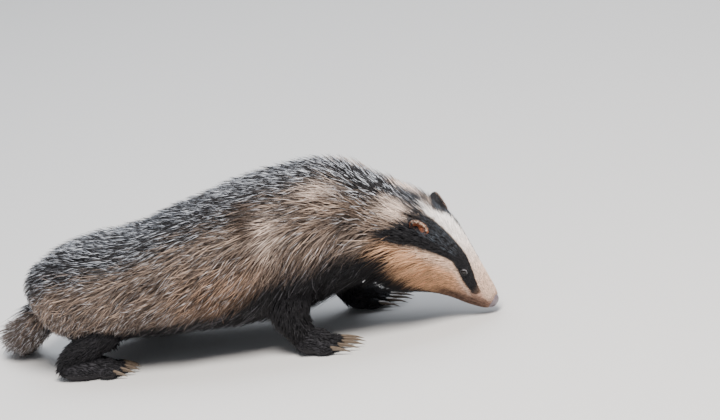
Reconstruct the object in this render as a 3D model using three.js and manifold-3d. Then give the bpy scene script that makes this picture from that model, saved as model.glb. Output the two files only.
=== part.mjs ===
// A European badger, adult, as a still life-size model: it stands low on bent legs with its head down to
// the ground. Millimetres, +Z up, +X towards the head, +Y to the animal's left. The origin is under the
// middle of the whole animal, on the floor that its four paws stand on. The trunk, from the root of the
// tail to the snout, is one loft of stations. A station is a section of the body: the height of its skin
// above and below a centre, its half width, and the depth of the coat over it. The long coat is a set of
// flat tapered locks that grow from a core, which is the trunk with less than half of the coat's depth on
// it. Thin cuts part the core into head, neck, torso, rump and tail, and the locks of each part hang over
// the one behind it. Legs, paws, claws, ears, eyes and nose are pieces of their own, a small gap clear of
// what they grow from.
import * as THREE from "three";
import { mergeVertices } from "three/addons/utils/BufferGeometryUtils.js";
import Module from "manifold-3d";

const wasm = await Module();
wasm.setup();

const radians = THREE.MathUtils.degToRad;
const vec = (x, y, z) => new THREE.Vector3(x, y, z);

// Driving dimensions
const GAP = 0.3; // clearance that touching pieces keep
const FINENESS = 0.04; // slivers of a joined surface smaller than this are evened out
const SIDES = { right: -1, left: 1 }; // the sign of Y on each side of the animal
const HEAD_PITCH = 43; // degrees that the head's axis points below level
const HEAD_ROLL = 8; // degrees that the crown tips to the animal's right
const NOSE_TIP = { x: 347, z: 14 };
const SQUARENESS = 0.9; // exponent of a section's curve: 1 is an ellipse, less is squarer
const TRUNK_SIDES = 24;
const RANDOM_SEED = 4519;

// The head's own frame: forward along its axis, and two directions at right angles to that, to the head's
// left and to its crown.
const LEFT = vec(0, 1, 0);
const FORWARD = vec(Math.cos(radians(HEAD_PITCH)), 0, -Math.sin(radians(HEAD_PITCH)));
const SIDEWAYS = LEFT.clone().applyAxisAngle(FORWARD, radians(HEAD_ROLL));
const UPWARD = FORWARD.clone().cross(SIDEWAYS);

// A point by its distance behind the nose tip along the head's axis, its height over that axis and its place
// to the left of it.
function onHead(behind, height, left = 0) {
  const tip = vec(NOSE_TIP.x, 0, NOSE_TIP.z);
  tip.addScaledVector(FORWARD, -behind).addScaledVector(UPWARD, height);
  return tip.addScaledVector(SIDEWAYS, left);
}

// Stations of the trunk from tail to snout. x and z place a section's centre, and lean tips it forward by
// degrees. up, down and half are the skin's height above and below the centre and its half width. coat is
// the coat's depth on the back, on the side and on the belly. long is 1 where the coat grows as locks, and
// 0 where it is short and the core carries all of its depth.
const BODY_STATIONS = [
  { name: "tail root", x: -212, z: 62, lean: -42, up: 14, down: 13, half: 15, coat: [13, 13, 10], long: 1 },
  { name: "rump", x: -194, z: 69, lean: -30, up: 35, down: 28, half: 50, coat: [23, 23, 15], long: 1 },
  { name: "hips", x: -152, z: 78, lean: -17, up: 43, down: 37, half: 80, coat: [24, 24, 15], long: 1 },
  { name: "loin", x: -88, z: 86, lean: -8, up: 43, down: 43, half: 91, coat: [24, 24, 16], long: 1 },
  { name: "belly", x: -20, z: 95, lean: 0, up: 56, down: 51, half: 96, coat: [24, 24, 16], long: 1 },
  { name: "ribs", x: 45, z: 103, lean: 0, up: 66.5, down: 59, half: 96, coat: [24, 24, 16], long: 1 },
  { name: "shoulder", x: 105, z: 110, lean: 4, up: 72, down: 62, half: 91, coat: [24, 23, 16], long: 1 },
  { name: "withers", x: 155, z: 116, lean: 9, up: 70, down: 56, half: 80, coat: [24, 22, 16], long: 1 },
  { name: "neck base", x: 196, z: 122, lean: 17, up: 50, down: 45, half: 62, coat: [18, 22, 17], long: 1 },
  { name: "neck", x: 226, z: 117, lean: 28, up: 41, down: 44, half: 53, coat: [14, 21, 18], long: 1 },
];
// Stations of the head, by their distance behind the nose tip along its axis.
const HEAD_STATIONS = [
  { name: "nape", behind: 136, up: 42, down: 47, half: 50, coat: [11, 18, 16], long: 1 },
  { name: "ears", behind: 117, up: 45, down: 44, half: 47, coat: [8, 14, 14], long: 0.9 },
  { name: "cheeks", behind: 94, up: 43.5, down: 39, half: 42, coat: [6, 10, 11], long: 0.6 },
  { name: "brow", behind: 69, up: 36.5, down: 30.5, half: 32.5, coat: [4, 4, 5], long: 0 },
  { name: "bridge", behind: 48, up: 27.5, down: 25, half: 23.5, coat: [3, 2.5, 3], long: 0 },
  { name: "muzzle", behind: 28, up: 17.5, down: 21.5, half: 18.5, coat: [2, 1.5, 2], long: 0 },
  { name: "snout", behind: 12, up: 9, down: 17, half: 14.5, coat: [1, 1, 1], long: 0 },
  { name: "lip", behind: 4, up: 3, down: 14, half: 10, coat: [0.5, 0.5, 0.5], long: 0 },
];

// The tail: its bony core droops and turns a little to the left, clear of the floor.
const TAIL_STOPS = [
  { at: [-204, 0, 64], wide: 17, deep: 17 },
  { at: [-223, 3, 54], wide: 17, deep: 16 },
  { at: [-242, 10, 42], wide: 16, deep: 15 },
  { at: [-257, 21, 32], wide: 13, deep: 13 },
  { at: [-268, 34, 26], wide: 8, deep: 8 },
];
const TAIL_LINE = vec(0.88, 0, 0.47).normalize(); // from the tail's root towards the rump
const TAIL_CUT_AT = vec(-220, 2, 56);

// Legs, as tubes from inside the trunk down to the paw, for the left side. stride moves a leg forward. A
// paw's palm and toe are radii: the palm's along X, Y and Z, and a toe's across, upright and along. fan is
// the step between toes, reach is from the palm's centre to the middle toe's, and curve sets the outer
// toes back.
const LEGS = {
  foreleg: {
    tubes: [
      [
        { at: [140, 52, 100], wide: 26, deep: 32 },
        { at: [120, 66, 76], wide: 24, deep: 29 },
        { at: [117, 76, 52], wide: 20, deep: 23 },
        { at: [124, 79, 34], wide: 17, deep: 18 },
        { at: [132, 80, 16], wide: 15, deep: 16 },
      ],
    ],
    stride: { right: 0, left: 12 },
    wristHeight: 26,
    palm: { at: [142, 81, 12], radii: [23, 22, 16] },
    toe: { radii: [6.2, 7.5, 14], height: 6.7, fan: 9.4, reach: 23, curve: 1.9, claw: 25 },
  },
  hindleg: {
    tubes: [
      [
        { at: [-150, 50, 72], wide: 28, deep: 34 },
        { at: [-122, 66, 60], wide: 25, deep: 29 },
        { at: [-100, 79, 48], wide: 19, deep: 20 },
      ],
      [
        { at: [-98, 80, 54], wide: 19, deep: 19 },
        { at: [-128, 84, 39], wide: 19, deep: 19 },
        { at: [-156, 84, 25], wide: 15, deep: 14 },
        { at: [-164, 84, 14], wide: 13, deep: 12 },
      ],
    ],
    stride: { right: -8, left: 22 },
    wristHeight: 25,
    palm: { at: [-136, 85, 10], radii: [38, 20, 16] },
    toe: { radii: [5.8, 7, 13], height: 6.2, fan: 8.6, reach: 37, curve: 1.9, claw: 15 },
  },
};
const TOES = 5;
const TOE_SPLAY = 0.09; // how far each toe turns from the one beside it, in radians
const CLAW = { root: 3.2, rootHeight: 8.5, tipHeight: 2.2, sunk: 4, arch: 0.12, flatness: 0.75 };
const CLAW_FACETS = { sides: 5, rings: 3 };

// The face: placed on the head by distance behind the nose tip, height over the axis and Y.
const EYE = { behind: 50.8, height: 17.9, out: 18.4, radius: 4.9 };
const EYE_FACES = { forward: 0.38, outward: 0.88, upward: 0.28 };
const LIDS = { thickness: 1.5, length: 1.25, opening: 8.6, openingHeight: 3.6 };
const NOSE = { behind: 4.5, height: -4.5, radii: [6.5, 10.5, 9] };
const NOSTRIL = { radii: [4.6, 2.1, 2.6], out: 5.2, sunk: 0.6, lower: 1, turn: 0.35 };
const MOUTH = { front: -7, back: 52, frontHeight: -12.5, backHeight: -11, wave: 2.2, width: 1.4, depth: 2.6 };
const EAR = { behind: 123, height: 43.5, out: 34, radii: [14, 10, 11.5] };
const EAR_CUP = { wall: 2.2, shift: 8.5, floor: 2, rim: 5.5 };
const EAR_FACES = { forward: 0.45, outward: 0.85, upward: -0.05 };

// The long coat. A lock starts in the core and bends over to lie back along the body and down its side.
// Shares are of the coat's depth.
const CORE_SHARE = 0.45;
const LOCK = { halfWidth: 12, halfThickness: 1.8, length: 70, steps: 3 };
const LOCK_RISE = { rootShare: 0.1, tipShare: 0.98, bend: 1.2 };
const LOCK_SIZE = { head: 0.6, neck: 0.8, torso: 1, rump: 0.95 };
const ROW_STEP = 39;
const LOCK_SPACING = 36.5;
const DROOP = 0.36; // how far a lock turns down the side, against how far it runs back
const RADIAN_OF_GIRTH = 95; // millimetres of girth in one radian
const CUT_CLEARANCE = 5; // from a cut to the roots of the first row behind it
const HEAD_LOCKS_BELOW = 0.25; // cosine of the angle above which the back of the head has short hair
const TAIL_LOCK = { rows: 3, round: 6, length: 44, lift: 13, halfWidth: 8.5, from: 0.32, to: 0.9, lowest: 6 };

// Numbers along a curve
// Uniform Catmull-Rom through equally spaced values, with u counted in values.
function spline(values, u) {
  const last = values.length - 1;
  const i = Math.min(Math.max(Math.floor(u), 0), last - 1);
  const t = Math.min(Math.max(u - i, 0), 1);
  const [a, b, c, d] = [-1, 0, 1, 2].map((k) => values[Math.min(Math.max(i + k, 0), last)]);
  const square = 2 * a - 5 * b + 4 * c - d;
  const cube = 3 * b - a - 3 * c + d;
  return 0.5 * (2 * b + (c - a) * t + square * t * t + cube * t * t * t);
}

// Repeatable random numbers from 0 to 1, by a 32-bit mixing of a counter.
function randomFrom(seed) {
  let state = seed;
  return () => {
    state = (state + 0x6d2b79f5) | 0;
    let t = Math.imul(state ^ (state >>> 15), 1 | state);
    t = (t + Math.imul(t ^ (t >>> 7), 61 | t)) ^ t;
    return ((t ^ (t >>> 14)) >>> 0) / 2 ** 32;
  };
}
const random = randomFrom(RANDOM_SEED);
const varied = (share) => 1 + share * (2 * random() - 1);

// Solids: closed meshes, joined and cut
function solidOf(geometry) {
  const bare = geometry.clone();
  for (const name of Object.keys(bare.attributes)) if (name !== "position") bare.deleteAttribute(name);
  const merged = mergeVertices(bare, 1e-4);
  const vertProperties = merged.attributes.position.array;
  const triVerts = new Uint32Array(merged.index.array);
  return new wasm.Manifold(new wasm.Mesh({ numProp: 3, vertProperties, triVerts }));
}

function geometryOf(solid) {
  const mesh = solid.getMesh();
  const geometry = new THREE.BufferGeometry();
  geometry.setAttribute("position", new THREE.BufferAttribute(mesh.vertProperties, 3));
  geometry.setIndex(new THREE.BufferAttribute(mesh.triVerts, 1));
  geometry.computeVertexNormals();
  return geometry;
}

const joined = (solids) => wasm.Manifold.union(solids);

// The largest closed surface of a solid, without loose scraps and sealed hollows.
function largest(solid) {
  return solid.decompose().reduce((a, b) => (a.volume() > b.volume() ? a : b));
}

// The closed solid of some points and triangles, whichever way round the triangles go.
function solidOfTriangles(points, triangles) {
  const geometry = new THREE.BufferGeometry();
  const positions = new Float32Array(points.flatMap((p) => [p.x, p.y, p.z]));
  geometry.setAttribute("position", new THREE.BufferAttribute(positions, 3));
  geometry.setIndex(triangles.flat());
  const solid = solidOf(geometry);
  if (solid.volume() > 0) return solid;
  geometry.setIndex(triangles.flatMap(([a, b, c]) => [b, a, c]));
  return solidOf(geometry);
}

// A surface through rings of equally many points, which closes to one point at each end.
function loft(rings, firstEnd, lastEnd) {
  const sides = rings[0].length;
  const points = [...rings.flat(), firstEnd, lastEnd];
  const first = points.length - 2;
  const at = (ring, side) => ring * sides + (side % sides);
  const triangles = [];
  for (let side = 0; side < sides; side++) {
    for (let ring = 0; ring + 1 < rings.length; ring++) {
      triangles.push([at(ring, side), at(ring, side + 1), at(ring + 1, side + 1)]);
      triangles.push([at(ring, side), at(ring + 1, side + 1), at(ring + 1, side)]);
    }
    triangles.push([first, at(0, side + 1), at(0, side)]);
    triangles.push([first + 1, at(rings.length - 1, side), at(rings.length - 1, side + 1)]);
  }
  return solidOfTriangles(points, triangles);
}

const middleOf = (ring) => ring.reduce((sum, p) => sum.add(p), vec(0, 0, 0)).divideScalar(ring.length);
const flatEnded = (rings) => loft(rings, middleOf(rings[0]), middleOf(rings.at(-1)));

// A ring of points round a centre, by two half axes.
function ringOf(centre, halfA, halfB, sides) {
  const ring = [];
  for (let side = 0; side < sides; side++) {
    const angle = (2 * Math.PI * side) / sides;
    const point = centre.clone().addScaledVector(halfA, Math.cos(angle));
    ring.push(point.addScaledVector(halfB, Math.sin(angle)));
  }
  return ring;
}

// A tube of elliptic rings along a smooth curve. Each stop is a point with its half width and half depth.
function tube(stops, steps, sides, grow = 0) {
  const curve = new THREE.CatmullRomCurve3(stops.map((stop) => vec(...stop.at)));
  const rings = [];
  for (let i = 0; i <= steps; i++) {
    const t = i / steps;
    const along = curve.getTangent(t);
    const across = vec(0, 1, 0).addScaledVector(along, -along.y).normalize();
    const upright = along.clone().cross(across);
    const wide = spline(stops.map((stop) => stop.wide + grow), t * (stops.length - 1));
    const deep = spline(stops.map((stop) => stop.deep + grow), t * (stops.length - 1));
    const centre = curve.getPoint(t);
    rings.push(ringOf(centre, across.multiplyScalar(wide), upright.multiplyScalar(deep), sides));
  }
  return flatEnded(rings);
}

// An ellipsoid with its radii along three axes, of facets in rings round the last of them.
function ellipsoid(centre, axes, radii, sides, rings) {
  const geometry = new THREE.SphereGeometry(1, sides, rings).rotateX(Math.PI / 2);
  const scaled = axes.map((axis, i) => axis.clone().normalize().multiplyScalar(radii[i]));
  geometry.applyMatrix4(new THREE.Matrix4().makeBasis(...scaled).setPosition(centre));
  return solidOf(geometry);
}

// The parts of a solid ahead of a plane and behind it, half a gap clear of the plane.
function ahead(solid, { normal, offset }) {
  return solid.trimByPlane(normal.toArray(), offset + GAP / 2);
}

function behind(solid, { normal, offset }) {
  return solid.trimByPlane(normal.clone().negate().toArray(), GAP / 2 - offset);
}

// The trunk
const placedOnAxis = HEAD_STATIONS.map((s) => {
  const { x, z } = onHead(s.behind, 0);
  return { ...s, x, z, lean: HEAD_PITCH };
});
const STATIONS = [...BODY_STATIONS, ...placedOnAxis];
const LAST_STATION = STATIONS.length - 1;
const numberOf = (name) => STATIONS.findIndex((s) => s.name === name);
const column = (field) => STATIONS.map((s) => s[field]);
const FIELDS = ["x", "z", "lean", "up", "down", "half", "long"];
const COLUMNS = Object.fromEntries(FIELDS.map((field) => [field, column(field)]));
const COATS = [0, 1, 2].map((place) => STATIONS.map((s) => s.coat[place]));
const ROLL_FROM = numberOf("withers");
const ROLL_TO = numberOf("ears");
const TAIL_STATION_STEP = 24; // millimetres that one station stands for beyond the root of the tail

// A point of the trunk. u counts stations from the root of the tail, angle goes round from the top to the
// left, and share is how much of the coat's depth lies under the point. The sections roll over with the
// head from the withers on. Below u = 0 they go on along the tail.
function trunkPoint(u, angle, share, grow = 0) {
  const at = Math.max(u, 0);
  const { x, z, lean, up, down, half } = stationAt(at);
  const [top, side, low] = COATS.map((depths) => spline(depths, at));
  const squared = (v) => Math.sign(v) * Math.abs(v) ** SQUARENESS;
  const upper = Math.cos(angle) > 0;
  const reach = upper ? up + share * top : down + share * low;
  const crown = (reach + grow) * squared(Math.cos(angle));
  const left = (half + share * side + grow) * squared(Math.sin(angle));
  const roll = radians(HEAD_ROLL) * THREE.MathUtils.smoothstep(u, ROLL_FROM, ROLL_TO);
  const height = crown * Math.cos(roll) + left * Math.sin(roll);
  const y = left * Math.cos(roll) - crown * Math.sin(roll);
  const tilt = radians(lean);
  const point = vec(x + Math.sin(tilt) * height, y, z + Math.cos(tilt) * height);
  return point.addScaledVector(TAIL_LINE, Math.min(u, 0) * TAIL_STATION_STEP);
}

function stationAt(u) {
  return Object.fromEntries(FIELDS.map((field) => [field, spline(COLUMNS[field], u)]));
}

// The solid share of the coat's depth: part of it under the locks, all of it where the coat is short.
const coreShare = (u) => 1 - (1 - CORE_SHARE) * spline(COLUMNS.long, u);

function trunkCore(grow) {
  const rings = [];
  for (let u = 0; u <= LAST_STATION; u += 0.5) {
    const ring = [];
    for (let side = 0; side < TRUNK_SIDES; side++) {
      ring.push(trunkPoint(u, (2 * Math.PI * side) / TRUNK_SIDES, coreShare(u), grow));
    }
    rings.push(ring);
  }
  return flatEnded(rings);
}

// A plane through the trunk at station u, by its normal, which points to the head, and its distance from 0.
function planeAt(u) {
  const { x, z, lean } = stationAt(u);
  const normal = vec(Math.cos(radians(lean)), 0, -Math.sin(radians(lean)));
  return { normal, offset: normal.dot(vec(x, 0, z)) };
}

// Legs and paws
function legTubes(leg, side, grow = 0) {
  return leg.tubes.map((stops) => {
    const placed = stops.map((stop) => {
      const [x, y, z] = stop.at;
      return { ...stop, at: [x + leg.stride[side], SIDES[side] * y, z] };
    });
    return tube(placed, 2 * (stops.length - 1), 12, grow);
  });
}

function palmSolid(leg, side) {
  const [x, y, z] = leg.palm.at;
  const centre = vec(x + leg.stride[side], SIDES[side] * y, z);
  return ellipsoid(centre, [vec(1, 0, 0), vec(0, 1, 0), vec(0, 0, 1)], leg.palm.radii, 10, 5);
}

// A toe's middle and the way it points: the toes fan out over the front of the palm.
function toeAt(leg, side, number) {
  const { height, fan, reach, curve } = leg.toe;
  const [x, y] = leg.palm.at;
  const step = number - (TOES - 1) / 2;
  const front = x + leg.stride[side] + reach - curve * step * step;
  const centre = vec(front, SIDES[side] * y + step * fan, height);
  return { centre, heading: vec(1, step * TOE_SPLAY, 0).normalize() };
}

function toeSolid(leg, side, number, grow = 0) {
  const { centre, heading } = toeAt(leg, side, number);
  const up = vec(0, 0, 1);
  const radii = leg.toe.radii.map((r) => r + grow);
  return ellipsoid(centre, [up.clone().cross(heading), up, heading], radii, 7, 4);
}

// A claw: a horn that leaves the toe's end and bends down to its point, clear of the floor.
function clawSolid(leg, side, number) {
  const { centre, heading } = toeAt(leg, side, number);
  const start = centre.clone().addScaledVector(heading, leg.toe.radii[2] - CLAW.sunk);
  start.z = CLAW.rootHeight;
  const tip = start.clone().addScaledVector(heading, leg.toe.claw + CLAW.sunk);
  tip.z = CLAW.tipHeight;
  const middle = start.clone().lerp(tip, 0.5);
  middle.z += CLAW.arch * leg.toe.claw;
  const curve = new THREE.QuadraticBezierCurve3(start, middle, tip);
  const rings = [];
  for (let i = 0; i < CLAW_FACETS.rings; i++) {
    const t = i / CLAW_FACETS.rings;
    const along = curve.getTangent(t);
    const across = vec(0, 0, 1).cross(along).normalize();
    const upright = along.clone().cross(across);
    const radius = CLAW.root * (1 - t) ** 0.7;
    const flat = across.multiplyScalar(CLAW.flatness * radius);
    rings.push(ringOf(curve.getPoint(t), flat, upright.multiplyScalar(radius), CLAW_FACETS.sides));
  }
  return loft(rings, middleOf(rings[0]), tip).subtract(toeSolid(leg, side, number, GAP));
}

// Eyes and lids. An eye's frame is its centre, the way it faces, the line of its corners and the way
// across that.
function eyeFrame(side) {
  const facing = SIDEWAYS.clone().multiplyScalar(SIDES[side] * EYE_FACES.outward);
  facing.addScaledVector(FORWARD, EYE_FACES.forward).addScaledVector(UPWARD, EYE_FACES.upward).normalize();
  const corners = FORWARD.clone().addScaledVector(facing, -FORWARD.dot(facing)).normalize();
  const centre = onHead(EYE.behind, EYE.height, SIDES[side] * EYE.out);
  return { centre, facing, corners, across: facing.clone().cross(corners) };
}

function eyeBall(side, grow = 0) {
  const { centre, facing, corners, across } = eyeFrame(side);
  const radius = EYE.radius + grow;
  return ellipsoid(centre, [corners, across, facing], [radius, radius, radius], 10, 6);
}

function lidBulge(side) {
  const { centre, facing, corners, across } = eyeFrame(side);
  const radius = EYE.radius + LIDS.thickness;
  return ellipsoid(centre, [corners, across, facing], [LIDS.length * radius, radius, radius], 10, 6);
}

// The almond opening between the lids, as a prism that runs out from the eye's centre.
function lidOpening(side) {
  const { centre, facing, corners, across } = eyeFrame(side);
  const almond = new THREE.Shape();
  almond.moveTo(-LIDS.opening / 2, 0);
  almond.quadraticCurveTo(0, 2 * LIDS.openingHeight, LIDS.opening / 2, 0);
  almond.quadraticCurveTo(0, -2 * LIDS.openingHeight, -LIDS.opening / 2, 0);
  const outwards = { depth: 3 * EYE.radius, bevelEnabled: false, curveSegments: 4 };
  const prism = new THREE.ExtrudeGeometry(almond, outwards);
  prism.applyMatrix4(new THREE.Matrix4().makeBasis(corners, across, facing).setPosition(centre));
  return solidOf(prism);
}

// The nose pad over the end of the snout, with its two nostrils.
function nosePad() {
  const pad = ellipsoid(onHead(NOSE.behind, NOSE.height), [FORWARD, SIDEWAYS, UPWARD], NOSE.radii, 12, 8);
  const nostrils = Object.values(SIDES).map((sign) => {
    const behindTip = NOSE.behind - NOSE.radii[0] + NOSTRIL.sunk;
    const centre = onHead(behindTip, NOSE.height - NOSTRIL.lower, sign * NOSTRIL.out);
    const inwards = FORWARD.clone().addScaledVector(SIDEWAYS, -sign * NOSTRIL.turn);
    return ellipsoid(centre, [inwards, SIDEWAYS, UPWARD], NOSTRIL.radii, 8, 4);
  });
  return pad.subtract(joined(nostrils));
}

// The line of the mouth: a shallow slit between the lips, from under the nose to below the eye.
function mouthSlit() {
  const steps = 6;
  const halfSpan = 40;
  const rings = [];
  for (let i = 0; i <= steps; i++) {
    const t = i / steps;
    const wave = MOUTH.wave * Math.sin(2 * Math.PI * t);
    const height = THREE.MathUtils.lerp(MOUTH.frontHeight, MOUTH.backHeight, t) + wave;
    const distance = THREE.MathUtils.lerp(MOUTH.front, MOUTH.back, t);
    const corner = (side, edge) => onHead(distance, height + (edge * MOUTH.width) / 2, side * halfSpan);
    rings.push([corner(-1, 1), corner(1, 1), corner(1, -1), corner(-1, -1)]);
  }
  return flatEnded(rings).subtract(trunkCore(-MOUTH.depth));
}

// Ears: small round cups low on the sides of the head, open outwards and forwards.
function earParts(side) {
  const open = SIDEWAYS.clone().multiplyScalar(SIDES[side] * EAR_FACES.outward);
  open.addScaledVector(FORWARD, EAR_FACES.forward).addScaledVector(UPWARD, EAR_FACES.upward).normalize();
  const length = FORWARD.clone().addScaledVector(open, -FORWARD.dot(open)).normalize();
  const axes = [length, open.clone().cross(length), open];
  const centre = onHead(EAR.behind, EAR.height, SIDES[side] * EAR.out);
  const cup = ellipsoid(centre, axes, EAR.radii, 14, 8);
  const room = ellipsoid(centre, axes, EAR.radii.map((r) => r + GAP), 14, 8);
  const deeper = centre.clone().addScaledVector(open, EAR_CUP.shift);
  const hollow = ellipsoid(deeper, axes, EAR.radii.map((r) => r - EAR_CUP.wall), 14, 8);
  const ear = cup
    .subtract(hollow.subtract(trunkCore(EAR_CUP.floor)))
    .subtract(trunkCore(GAP))
    .trimByPlane(open.clone().negate().toArray(), -(open.dot(centre) + EAR_CUP.rim));
  return { ear, room };
}

// Locks of the long coat. A lock is a path of points with the outward direction at each, and half of its
// width and thickness: flat below, with a low ridge above, widest near its middle and tapered to a point.
function solidLock({ path, outward, halfWidth, halfThickness }, grow = 0) {
  const steps = path.length - 1;
  const rings = [];
  for (let i = 0; i < steps; i++) {
    const along = path[i + 1].clone().sub(path[Math.max(i - 1, 0)]).normalize();
    const across = outward[i].clone().cross(along).normalize();
    const over = along.clone().cross(across).normalize();
    const t = i / steps;
    const wide = halfWidth * (0.8 + 0.7 * t - 1.3 * t * t) + grow;
    const thick = halfThickness * (1 - 0.5 * t) + grow;
    const under = path[i].clone().addScaledVector(over, -thick);
    const left = under.clone().addScaledVector(across, wide);
    const right = under.addScaledVector(across, -wide);
    rings.push([left, path[i].clone().addScaledVector(over, thick), right]);
  }
  const end = path[steps].clone().sub(path[steps - 1]).normalize();
  return loft(rings, middleOf(rings[0]), path[steps].clone().addScaledVector(end, 4 * grow));
}

// Millimetres along the body's side that one station stands for at u.
function stretchAt(u) {
  const at = Math.max(u, 0);
  return 10 * trunkPoint(at + 0.1, Math.PI / 2, 1).distanceTo(trunkPoint(at, Math.PI / 2, 1));
}

function outwardAt(u, angle, share) {
  const forwards = trunkPoint(u + 0.05, angle, share).sub(trunkPoint(u - 0.05, angle, share));
  const round = trunkPoint(u, angle + 0.02, share).sub(trunkPoint(u, angle - 0.02, share));
  return forwards.cross(round).normalize();
}

function trunkLock(startU, startAngle, size) {
  const length = LOCK.length * size * varied(0.14);
  const turn = DROOP * varied(0.4) * (Math.sin(startAngle) / RADIAN_OF_GIRTH);
  const tipShare = LOCK_RISE.tipShare * varied(0.05);
  const path = [];
  const outward = [];
  let u = startU;
  for (let i = 0; i <= LOCK.steps; i++) {
    const t = i / LOCK.steps;
    if (i > 0) u -= length / LOCK.steps / stretchAt(u);
    const angle = startAngle + turn * length * t;
    const rise = Math.sin((Math.PI / 2) * Math.min(1, LOCK_RISE.bend * t));
    const share = THREE.MathUtils.lerp(LOCK_RISE.rootShare, tipShare, rise);
    path.push(trunkPoint(u, angle, share));
    outward.push(outwardAt(u, angle, share));
  }
  const halfWidth = LOCK.halfWidth * Math.sqrt(size) * varied(0.15);
  return { path, outward, halfWidth, halfThickness: LOCK.halfThickness * size };
}

// One row of locks round the trunk at station u. Every other row is half a step round.
function trunkRow(u, row, size) {
  const { up, down, half } = stationAt(u);
  const [top, side, low] = COATS.map((depths) => spline(depths, u));
  const girth = Math.PI * (half + side + (up + top + down + low) / 2);
  const count = Math.round(girth / (LOCK_SPACING * Math.sqrt(size)));
  const locks = [];
  for (let i = 0; i < count; i++) {
    const angle = (2 * Math.PI * (i + 0.5 * (row % 2) + 0.1 * (2 * random() - 1))) / count;
    const bald = u > CUTS.head && Math.cos(angle) > HEAD_LOCKS_BELOW;
    if (!bald) locks.push(trunkLock(u + 0.03 * (2 * random() - 1), angle, size));
  }
  return locks;
}

// The locks of a node of the trunk, in rows from the cut in front of it back to the one behind it.
function locksBetween(from, to, size) {
  const locks = [];
  const rowStep = ROW_STEP * size;
  let u = to - CUT_CLEARANCE / stretchAt(to);
  for (let row = 0; row === 0 || u > from + (0.55 * rowStep) / stretchAt(from); row++) {
    locks.push(...trunkRow(u, row, size));
    u -= rowStep / stretchAt(u);
  }
  return locks;
}

function tailLocks() {
  const curve = new THREE.CatmullRomCurve3(TAIL_STOPS.map((stop) => vec(...stop.at)));
  const locks = [];
  for (let row = 0; row < TAIL_LOCK.rows; row++) {
    const at = THREE.MathUtils.lerp(TAIL_LOCK.from, TAIL_LOCK.to, row / (TAIL_LOCK.rows - 1));
    const along = curve.getTangent(at);
    const across = vec(0, 0, 1).cross(along).normalize();
    const radius = spline(TAIL_STOPS.map((stop) => stop.deep), at * (TAIL_STOPS.length - 1));
    for (let i = 0; i < TAIL_LOCK.round; i++) {
      const angle = (2 * Math.PI * (i + 0.5 * (row % 2))) / TAIL_LOCK.round;
      const out = across.clone().multiplyScalar(Math.cos(angle));
      out.addScaledVector(along.clone().cross(across), Math.sin(angle));
      locks.push(tailLock(curve.getPoint(at), along, out, radius));
    }
  }
  return locks;
}

function tailLock(root, along, out, radius) {
  const length = TAIL_LOCK.length * varied(0.12);
  const sunk = 6;
  const path = [];
  for (let i = 0; i <= LOCK.steps; i++) {
    const t = i / LOCK.steps;
    const rise = Math.sin((Math.PI / 2) * Math.min(1, LOCK_RISE.bend * t));
    const height = (radius - sunk + (TAIL_LOCK.lift + sunk) * rise) * (1 - 0.3 * t * t);
    const point = root.clone().addScaledVector(along, length * t).addScaledVector(out, height);
    point.z = Math.max(point.z, TAIL_LOCK.lowest);
    path.push(point);
  }
  const halfWidth = TAIL_LOCK.halfWidth * varied(0.12);
  return { path, outward: path.map(() => out), halfWidth, halfThickness: LOCK.halfThickness };
}

// Cuts between the nodes of the trunk, as stations
const CUTS = {
  torso: numberOf("loin") - 0.55,
  neck: numberOf("neck base") - 0.6,
  head: numberOf("nape") - 0.35,
};
const HEAD_ROWS_FROM = numberOf("ears") + 0.6;
const RUMP_ROWS_TO = 0.35;

// Putting the animal together
const materials = {
  coat: new THREE.MeshStandardMaterial({ color: 0x75695c, roughness: 0.9, metalness: 0 }),
  dark_coat: new THREE.MeshStandardMaterial({ color: 0x17161a, roughness: 0.85, metalness: 0 }),
  face: new THREE.MeshStandardMaterial({ color: 0xcdb59b, roughness: 0.85, metalness: 0 }),
  ear: new THREE.MeshStandardMaterial({ color: 0x8a4a2c, roughness: 0.85, metalness: 0 }),
  nose: new THREE.MeshStandardMaterial({ color: 0x8b7a7d, roughness: 0.45, metalness: 0 }),
  eye: new THREE.MeshStandardMaterial({ color: 0x0d0b0b, roughness: 0.08, metalness: 0 }),
  claw: new THREE.MeshStandardMaterial({ color: 0x4a4038, roughness: 0.45, metalness: 0 }),
};
const badger = new THREE.Group();

function add(name, solid, material) {
  const tidy = largest(largest(solid).simplify(FINENESS));
  const mesh = new THREE.Mesh(geometryOf(tidy), materials[material]);
  mesh.name = name;
  badger.add(mesh);
}

const core = trunkCore(0);
const coreRoom = trunkCore(GAP);
const sideNames = Object.keys(SIDES);

// Legs, parted from their paws at the wrist and cut clear of the trunk's core.
const legRooms = [];
for (const [name, leg] of Object.entries(LEGS)) {
  for (const side of sideNames) {
    const numbers = [...Array(TOES).keys()];
    const toes = numbers.map((number) => toeSolid(leg, side, number));
    const whole = joined([...legTubes(leg, side), palmSolid(leg, side), ...toes])
      .trimByPlane([0, 0, 1], 0)
      .subtract(coreRoom);
    const wrist = { normal: vec(0, 0, 1), offset: leg.wristHeight };
    add(name + "_" + side, ahead(whole, wrist), "dark_coat");
    add(name.replace("leg", "paw") + "_" + side, behind(whole, wrist), "dark_coat");
    for (const number of numbers) {
      const clawName = name.replace("leg", "claw") + "_" + side + "_" + (number + 1);
      add(clawName, clawSolid(leg, side, number), "claw");
    }
    legRooms.push(...legTubes(leg, side, GAP));
  }
}

const earRooms = [];
for (const side of sideNames) {
  const { ear, room } = earParts(side);
  add("ear_" + side, ear, "ear");
  earRooms.push(room);
}

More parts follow.
